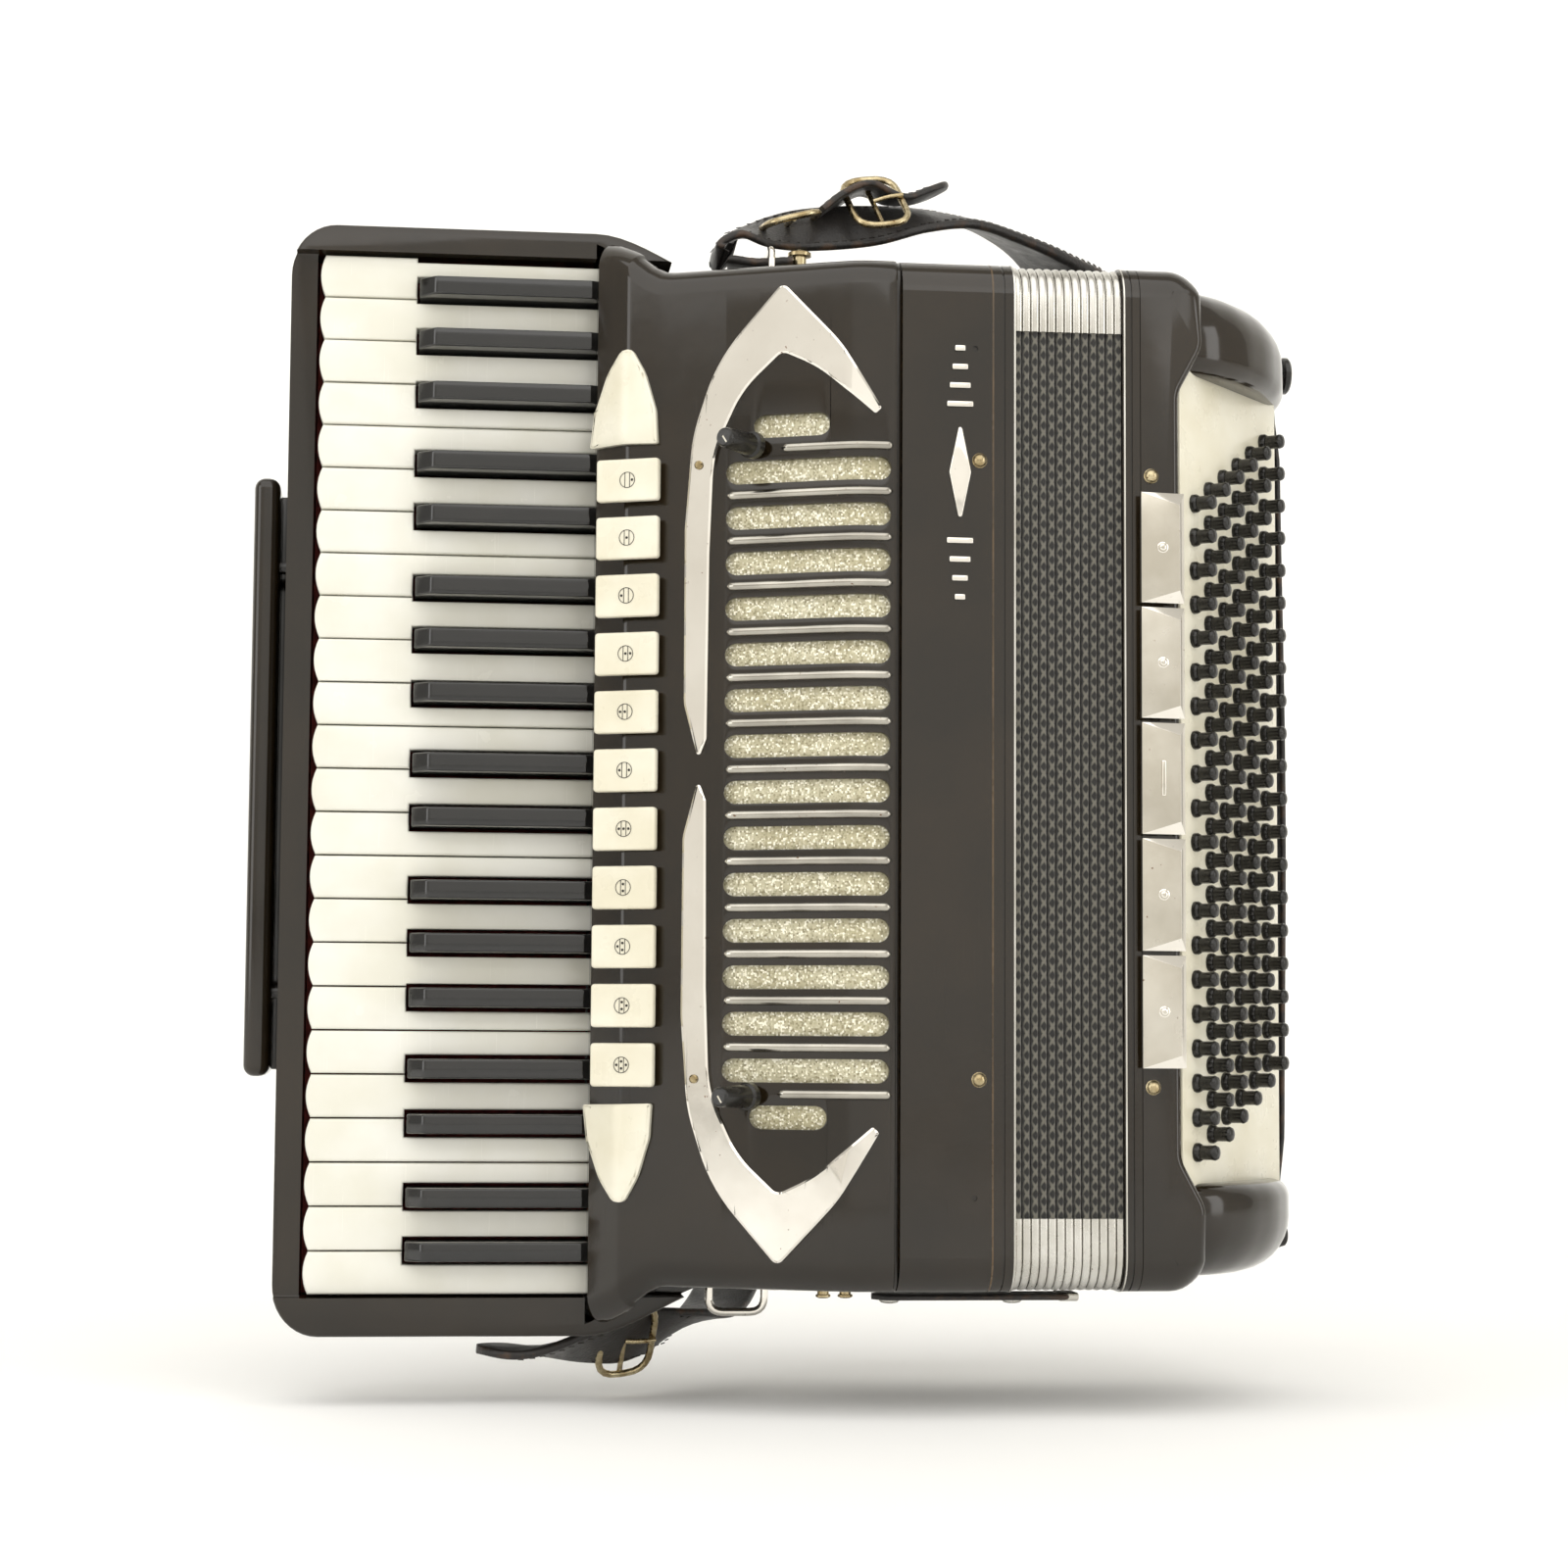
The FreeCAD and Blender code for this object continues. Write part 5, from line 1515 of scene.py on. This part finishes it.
    def build_fittings(self) -> None:
        """Build the pins, the feet, the air button and the wheel that sets the hand strap."""
        bm = bmesh.new()
        for z in (134 * MM, -141 * MM):
            TrebleFront().pin(bm, 106.5 * MM, z)
        piece("bass_pins", bm, "bass_side", [BRASS], ["bass_fittings"])
        bm = bmesh.new()
        for y in (-54 * MM, -22 * MM):
            for z in (-214 * MM, 214 * MM):
                foot = [(0, 0), (6, 0), (6, 16), (5.2, 18.6), (4.0, 19.4), (0, 19.6)]
                lathe(bm, in_mm(foot), facing((184.4 * MM, y, z), (1, 0, 0)), 24)
        piece("bass_feet", bm, "bass_side", [RUBBER])
        low, high = corner("air_button", 0), corner("air_button", 1)
        middle = (low + high) / 2
        top = high.x - 199 * MM
        bm = bmesh.new()
        knob = [(0, -12), (3, -12), (3, 0), (8.2, 0), (9, 0.8), (9, top / MM - 1.2), (8.0, top / MM - 0.2),
                (5, top / MM - 0.8), (0, top / MM - 1.1)]
        lathe(bm, in_mm(knob), facing((199 * MM, middle.y, middle.z), (1, 0, 0)), 32)
        piece("air_button_dished", bm, "air_button", [BUTTON], ["air_button"])
        low, high = corner("strap_wheel", 0), corner("strap_wheel", 1)
        bm = bmesh.new()
        height = (high.z - low.z) / MM
        wheel = [(0, 0), (3, 0), (3, 2), (10.2, 2), (11, 2.8), (11, height - 0.8), (10.2, height),
                 (0, height)]
        middle = (low + high) / 2
        lathe(bm, in_mm(wheel), facing((middle.x, middle.y, low.z), (0, 0, 1)), 48)
        for vert in bm.verts:
            off = Vector((vert.co.x - middle.x, vert.co.y - middle.y))
            if off.length > 10.5 * MM:
                turn = int(round(math.atan2(off.y, off.x) / (2 * math.pi) * 48))
                if turn % 2:
                    vert.co.x -= off.x * 0.06
                    vert.co.y -= off.y * 0.06
        piece("strap_wheel_milled", bm, "strap_wheel", [BUTTON], ["strap_wheel"], crease=25)
        bm = bmesh.new()
        boss = [(0, 0), (7, 0), (7, 10.5), (6.2, 11.3), (0, 11.3)]
        lathe(bm, in_mm(boss),
              facing(((low.x + high.x) / 2, (low.y + high.y) / 2, low.z - 11.5 * MM), (0, 0, 1)), 32)
        for z in (-189 * MM, 189 * MM):
            block(bm, (188 * MM, -60 * MM, z - 5 * MM), (197.6 * MM, -30 * MM, z + 5 * MM), 1.2 * MM, 2)
            lathe(bm, [(0, 0), (2.6 * MM, 0), (2.2 * MM, 0.9 * MM), (0, 1.3 * MM)],
                  facing((200.6 * MM, -45 * MM, z), (1, 0, 0)), 16)
        piece("strap_brackets", bm, "bass_side", [NICKEL])

    def build_strap(self) -> None:
        """Build the hand strap: a wide flat band that bows away from the side."""
        bm = bmesh.new()
        sections, places = [], []
        reach = 196 * MM
        for k in range(41):
            z = reach * (1 - 2 * k / 40)
            bow = 1.8 * MM * math.cos(math.pi / 2 * z / reach) ** 2
            centre = Vector((198.6 * MM + bow - 0.6 * MM, -43 * MM, z))
            width = 34 * MM + 20 * MM * smooth((reach - abs(z)) / (34 * MM))
            sections.append(strip_row(centre, Vector((0, 0, -1)), Vector((1, 0, 0)), width, 2.8 * MM))
            places.append(2 * reach * k / 40 / MM)
        rows = tube(bm, sections)
        across = [(p.y - min(q.y for q in sections[20])) / (54 * MM) for p in sections[20]]
        lay_uv(bm, rows, across, places)
        outwards(bm)
        piece("bass_hand_strap", bm, "bass_side", [LEATHER], ["bass_strap"], crease=60)

    def build(self) -> None:
        """Build the bass side."""
        dress("bass_bellows_frame", BLACK)
        dress("bass_reed_blocks", SPRUCE)
        self.build_casing()
        self.build_board()
        self.build_buttons()
        for k in range(1, 6):
            self.register("bass_register_%d" % k, Mark.BAR if k == 3 else Mark.DOT)
        self.build_fittings()
        self.build_strap()
        low = corner("bass_bellows_frame", 0).x
        TrebleFront().ring("bass_frame_line", low + 0.5 * MM, 0.7 * MM, 0.25 * MM, "bass_side", NICKEL)


# ------------------------------------------------------------------ straps
def flow(points: Sequence[Vector], steps: int) -> list[Vector]:
    """Draw a smooth line through points."""
    made = []
    ends = [points[0] * 2 - points[1], *points, points[-1] * 2 - points[-2]]
    for a, b, c, d in zip(ends, ends[1:], ends[2:], ends[3:]):
        for k in range(steps):
            t = k / steps
            made.append(0.5 * ((2 * b) + (c - a) * t + (2 * a - 5 * b + 4 * c - d) * t * t
                               + (3 * b - a - 3 * c + d) * t ** 3))
    return made + [points[-1].copy()]


@dataclass
class Straps:
    """The shoulder strap with its buckles and rings, and the small strap that shuts the bellows."""
    width: float = 30.0 * MM
    thick: float = 4.2 * MM
    stitch_pitch: float = 4.5 * MM
    stitch_inset: float = 2.6 * MM
    route: tuple[tuple[float, ...], ...] = (
        (-50, -112, 244, 0, 0, 1), (-70, -112, 243, -0.2, 0, 1), (-84, -111, 249, -1, 0, 0.2),
        (-76, -110, 259, -0.2, -0.2, 1), (-60, -109, 261, 0, -0.6, 0.8), (-40, -107, 264, -0.1, -0.8, 0.6),
        (-12, -100, 269, -0.1, -0.8, 0.6), (12, -90, 275.5, 0, -0.55, 0.8), (36, -76, 279.5, 0.1, -0.35, 1),
        (60, -60, 278, 0.2, -0.3, 1), (88, -38, 271, 0.3, 0, 0.9), (112, -12, 258, 0.3, 0.6, 0.75),
        (122, 14, 232, 0.1, 0.9, 0.4), (117, 32, 190, 0, 1, 0.1), (100, 44, 130, 0, 1, 0),
        (76, 50, 65, 0, 1, 0),
        (48, 52, 0, 0, 1, 0), (18, 50, -65, 0, 1, 0), (-12, 44, -125, 0, 1, 0), (-38, 34, -180, 0, 0.9, -0.3),
        (-56, 16, -222, 0, 0.8, -0.6), (-72, -22, -248, 0, 0.3, -1), (-92, -54, -256, 0, -0.6, -0.8),
        (-116, -78, -259, 0, -0.85, -0.5), (-136, -90, -262, 0, -0.6, -0.8),
        (-168, -98, -264.5, 0, 0, -1), (-190, -100, -263, 0, 0, -1))
    tail: tuple[tuple[float, ...], ...] = (
        (-36, -104, 272, -0.5, 0, 1), (-25, -101, 281, -0.6, 0, 1), (-12, -99, 287.5, 0, 0, 1),
        (2, -96, 283.5, 0.3, 0, 1), (14, -91, 286.5, -0.2, 0, 1), (29, -84, 293.5, -0.4, 0, 1))

    def fullness(self, share: float, width: float, thick: float, pad: bool) -> tuple[float, float]:
        """The width and thickness at a share of the length; a padded strap swells over the back."""
        full = smooth(share / 0.2 - 0.6) * smooth((1 - share) / 0.2 - 1.2) if pad else 0.0
        return width * (1 + 0.5 * full), thick * (1 + 0.9 * full)

    def strip(self, name: str, route: Sequence[Sequence[float]], width: float, thick: float,
              stands_for: Sequence[str] = (), pad: bool = False) -> None:
        """Build a strap along a route, rounded off at its far end and stitched along both edges.

        Args:
            name: the piece's name.
            route: place and outward direction of each point, in millimetres.
            width: its width.
            thick: its thickness.
            stands_for: CAD nodes that it takes the place of.
            pad: whether it is lined and fuller over the back.
        """
        line = flow([Vector(p[:3]) * MM for p in route], 8)
        faces = flow([Vector(p[3:]).normalized() for p in route], 8)
        lengths = [0.0]
        for a, b in zip(line, line[1:]):
            lengths.append(lengths[-1] + (b - a).length)
        total = lengths[-1]
        sections = []
        for k, (place, face, run) in enumerate(zip(line, faces, lengths)):
            along = (line[min(k + 1, len(line) - 1)] - line[max(k - 1, 0)]).normalized()
            wide, deep = self.fullness(run / total, width, thick, pad)
            close = math.sqrt(max(0.05, 1 - max(0.0, 1 - (total - run) / (width * 0.5)) ** 2))
            sections.append(strip_row(place, along, face, wide * close, deep))
        bm = bmesh.new()
        rows = tube(bm, sections)
        middle = sections[len(sections) // 3]
        centre = sum(middle, Vector()) / len(middle)
        side = max(middle, key=lambda p: (p - centre).length) - centre
        across = [min(1.0, max(0.0, 0.5 + (p - centre).dot(side.normalized()) / (2 * side.length)))
                  for p in middle]
        lay_uv(bm, rows, across, [run / MM for run in lengths])
        outwards(bm)
        made = piece(name, bm, "body", [LEATHER], stands_for, crease=60)
        bm = bmesh.new()
        run = self.stitch_pitch
        k = 1
        while run < total - width * 0.6:
            while lengths[k] < run:
                k += 1
            face = faces[k].normalized()
            along = (line[k] - line[k - 1]).normalized()
            over = along.cross(face).normalized()
            up = over.cross(along).normalized()
            wide, deep = self.fullness(run / total, width, thick, pad)
            t = (run - lengths[k - 1]) / (lengths[k] - lengths[k - 1])
            place = line[k - 1].lerp(line[k], t)
            for way in (-1, 1):
                spot = place + over * way * (wide / 2 - self.stitch_inset) + up * deep / 2
                turn = Matrix.Translation(spot) @ axes(along, over, up)
                made = block(bm, (-1.3 * MM, -0.3 * MM, -0.2 * MM), (1.3 * MM, 0.3 * MM, 0.22 * MM))
                bmesh.ops.transform(bm, matrix=turn, verts=made)
            run += self.stitch_pitch
        piece(name + "_stitches", bm, "body", [THREAD], crease=80)

    def wire(self, bm: Form, corners: Sequence[Sequence[float]], radius: float, bend: float,
             closed: bool = False) -> None:
        """Add a round wire that follows corners, in millimetres."""
        points = [Vector(c) * MM for c in corners]
        line = []
        for i, here in enumerate(points):
            if not closed and i in (0, len(points) - 1):
                line.append(here)
                continue
            back, ahead = points[i - 1] - here, points[(i + 1) % len(points)] - here
            reach = min(bend, back.length * 0.49, ahead.length * 0.49)
            start, end = here + back.normalized() * reach, here + ahead.normalized() * reach
            line += [(start * (1 - t) + here * t) * (1 - t) + (here * (1 - t) + end * t) * t
                     for t in (k / 5 for k in range(6))]
        sections = []
        count = len(line)
        for k, place in enumerate(line):
            before = line[k - 1] if closed or k else line[0] * 2 - line[1]
            after = line[(k + 1) % count] if closed or k < count - 1 else line[-1] * 2 - line[-2]
            along = (after - before).normalized()
            over = along.cross(Vector((0.31, 0.77, 0.55))).normalized()
            up = over.cross(along)
            sections.append([place + (over * math.cos(a) + up * math.sin(a)) * radius
                             for a in (math.pi * k2 / 5 for k2 in range(10))])
        rows = sweep(bm, sections + ([sections[0]] if closed else []), ring=True)
        if not closed:
            for end in (rows[0], rows[-1]):
                bm.faces.new(end)

    def buckle(self, name: str, centre: Sequence[float], along: Sequence[float], face: Sequence[float],
               stands_for: Sequence[str] = ()) -> None:
        """Build an oval wire buckle with its bar and prong."""
        way = Vector(along).normalized()
        over = way.cross(Vector(face)).normalized()
        up = over.cross(way).normalized()
        bm = bmesh.new()
        frame_line = [(-13, -19, 0), (13, -19, 0), (13, 19, 0), (-13, 19, 0)]
        self.wire(bm, frame_line, 1.7 * MM, 11 * MM, True)
        self.wire(bm, [(-1, -18.5, -0.8), (-1, 18.5, -0.8)], 1.3 * MM, MM)
        self.wire(bm, [(-1, 0, 0.6), (6, 0, 2.4), (13.4, 0, 2.6)], 1.2 * MM, 5 * MM)
        bmesh.ops.remove_doubles(bm, verts=bm.verts, dist=2e-6)
        outwards(bm)
        turn = Matrix.Translation(Vector(centre) * MM) @ axes(way, over, up)
        bmesh.ops.transform(bm, matrix=turn, verts=bm.verts)
        piece(name, bm, "body", [BRASS], stands_for, crease=60)

    def build_rings(self) -> None:
        """Build the wire rings that hold the strap above and below."""
        bm = bmesh.new()
        upper = [(-60, -128, 229), (-60, -128, 250), (-60, -94, 250), (-60, -94, 229)]
        lower = [(-57, -96, -229), (-57, -96, -247), (-83, -96, -247), (-83, -96, -229)]
        self.wire(bm, upper, 1.8 * MM, 7 * MM)
        self.wire(bm, lower, 1.9 * MM, 7 * MM)
        outwards(bm)
        piece("strap_rings", bm, "body", [CHROME], crease=60)

    def build_bellows_strap(self) -> None:
        """Build the small strap that keeps the bellows shut, with its stud and plated tip."""
        low, high = corner("bellows_strap", 0), corner("bellows_strap", 1)
        y, z = (low.y + high.y) / 2, high.z - 3.2 * MM
        bm = bmesh.new()
        xs = [-14 * MM + 93 * MM * k / 24 for k in range(25)]
        sections = []
        for x in xs:
            close = math.sqrt(max(0.03, 1 - max(0.0, 1 - min(x - xs[0], xs[-1] - x) / (10 * MM)) ** 2))
            sections.append(strip_row(Vector((x, y, z)), Vector((1, 0, 0)), -UP, 20 * MM * close, 2.8 * MM))
        rows = tube(bm, sections)
        lay_uv(bm, rows, [(p.y - y) / (20 * MM) + 0.5 for p in sections[12]], [x / MM for x in xs])
        outwards(bm)
        for x in (-6 * MM, 50 * MM):
            stud = [(0, 1.0), (4.6, 1.0), (4.6, 2.0), (3.8, 2.8), (2.2, 3.2), (0, 3.4)]
            paint(lathe(bm, in_mm(stud), facing((x, y, z), (0, 0, -1)), 20), 1)
        seen = set(bm.faces)
        block(bm, (70 * MM, y - 8 * MM, z - 1.9 * MM), (79.5 * MM, y + 8 * MM, z + 1.9 * MM), 1.2 * MM, 3)
        paint([f for f in bm.faces if f not in seen], 1)
        piece("bellows_strap_band", bm, "bellows_strap", [LEATHER, NICKEL], ["bellows_strap"], crease=50)

    def build(self) -> None:
        """Build all the straps."""
        self.strip("shoulder_strap_band", self.route, self.width, self.thick, ["shoulder_strap"], True)
        self.strip("shoulder_strap_tail", self.tail, 22 * MM, 3.2 * MM)
        self.buckle("upper_buckle", (-50, -108, 267), (1, 0.05, 0.28), (0, -0.1, 1), ["strap_buckles"])
        self.buckle("long_buckle", (-8, -106, 279), (1, 0.1, 0.16), (0, -0.75, 0.66))
        self.buckle("lower_buckle", (-120, -83, -261), (1, 0.35, 0.1), (0, -0.85, -0.5))
        self.build_rings()
        self.build_bellows_strap()


# ------------------------------------------------------------------ studio
@dataclass
class Studio:
    """The camera, a pale floor that runs up behind, and large soft lights."""
    yaw: float = 6.31
    pitch: float = 4.81
    roll: float = 0.357
    distance: float = 1427.7 * MM
    target: tuple[float, float, float] = (-55.1 * MM, -150.0 * MM, -4.74 * MM)
    lens: float = 72.0
    floor_z: float = -0.2875
    wall_y: float = 1.5

    def build_camera(self) -> None:
        """Set the camera level with the instrument's middle, a little below and to the left of it."""
        yaw, pitch, roll = (math.radians(a) for a in (self.yaw, self.pitch, self.roll))
        ahead = Vector((math.sin(yaw) * math.cos(pitch), math.cos(yaw) * math.cos(pitch), math.sin(pitch)))
        right = Vector((math.cos(yaw), -math.sin(yaw), 0))
        up = right.cross(ahead)
        across = right * math.cos(roll) + up * math.sin(roll)
        above = up * math.cos(roll) - right * math.sin(roll)
        data = bpy.data.cameras.new("camera")
        data.lens, data.sensor_width = self.lens, 36.0
        data.clip_start, data.clip_end = 0.05, 60.0
        camera = bpy.data.objects.new("camera", data)
        bpy.context.collection.objects.link(camera)
        place = Vector(self.target) - ahead * self.distance
        camera.matrix_world = Matrix.Translation(place) @ axes(across, above, -ahead)
        bpy.context.scene.camera = camera

    def build_floor(self) -> None:
        """Build a floor with a curved rise to a wall."""
        profile = [(-8.0, 0.0), (self.wall_y - 0.6, 0.0)]
        profile += [(self.wall_y - 0.6 + 0.6 * math.sin(a), 0.6 - 0.6 * math.cos(a))
                    for a in (math.pi / 2 * k / 12 for k in range(1, 13))]
        profile.append((self.wall_y, 7.0))
        bm = bmesh.new()
        sweep(bm, [[Vector((x, y, self.floor_z + z)) for y, z in profile] for x in (-9.0, 9.0)])
        outwards(bm)
        if bm.faces[:][0].normal.z < 0:
            bmesh.ops.reverse_faces(bm, faces=bm.faces)
        mesh = bpy.data.meshes.new("studio_floor")
        bm.to_mesh(mesh)
        bm.free()
        mesh.shade_smooth()
        paper = Finish("paper, matt", "cream_plastic", "#fcfcfb", "#fafaf9", 0.9, 0.05, 300.0, 4.0, 0.02)
        mesh.materials.append(paper.material())
        floor = bpy.data.objects.new("studio_floor", mesh)
        bpy.context.collection.objects.link(floor)

    def light(self, name: str, place: Sequence[float], size: tuple[float, float], power: float) -> None:
        """Add one rectangular area light that faces the instrument."""
        data = bpy.data.lights.new(name, "AREA")
        data.shape, data.size, data.size_y, data.energy = "RECTANGLE", size[0], size[1], power
        lamp = bpy.data.objects.new(name, data)
        bpy.context.collection.objects.link(lamp)
        way = Vector(self.target) - Vector(place)
        turn = way.to_track_quat("-Z", "Y").to_matrix().to_4x4()
        lamp.matrix_world = Matrix.Translation(Vector(place)) @ turn

    def build(self) -> None:
        """Build the studio."""
        self.build_camera()
        self.build_floor()
        self.light("soft_top", (-0.4, -1.5, 2.1), (4.0, 3.0), 42.0)
        self.light("soft_left", (-2.6, -1.2, 0.4), (1.2, 2.2), 16.0)
        self.light("soft_right", (2.5, -1.6, 0.6), (1.0, 2.2), 15.0)
        self.light("soft_front", (0.3, -3.4, 0.5), (3.4, 3.0), 6.0)
        world = bpy.data.worlds.new("studio")
        world.use_nodes = True
        back = world.node_tree.nodes["Background"]
        back.inputs["Color"].default_value = linear("#f6f2e9")
        ways = add_node(world.node_tree, "ShaderNodeSeparateXYZ", {},
                        {0: add_node(world.node_tree, "ShaderNodeTexCoord").outputs["Generated"]})
        bright = add_node(world.node_tree, "ShaderNodeMapRange",
                          {"From Min": -1.0, "From Max": 0.2, "To Min": 1.12, "To Max": 0.5},
                          {"Value": ways.outputs["Y"]})
        world.node_tree.links.new(bright.outputs["Result"], back.inputs["Strength"])
        bpy.context.scene.world = world
        bpy.context.scene.view_settings.view_transform = "Standard"


def main() -> None:
    """Build the instrument, sub-assembly by sub-assembly, and report each."""
    logging.basicConfig(level=logging.INFO, format="%(name)s: %(message)s")
    Studio().build()
    for part in (Keyboard(), Grille(), Registers(), TrebleFront(), Bellows(), BassSide(), Straps()):
        part.build()
        LOG.info("built %s", type(part).__name__)


if __name__ == "__main__":
    main()
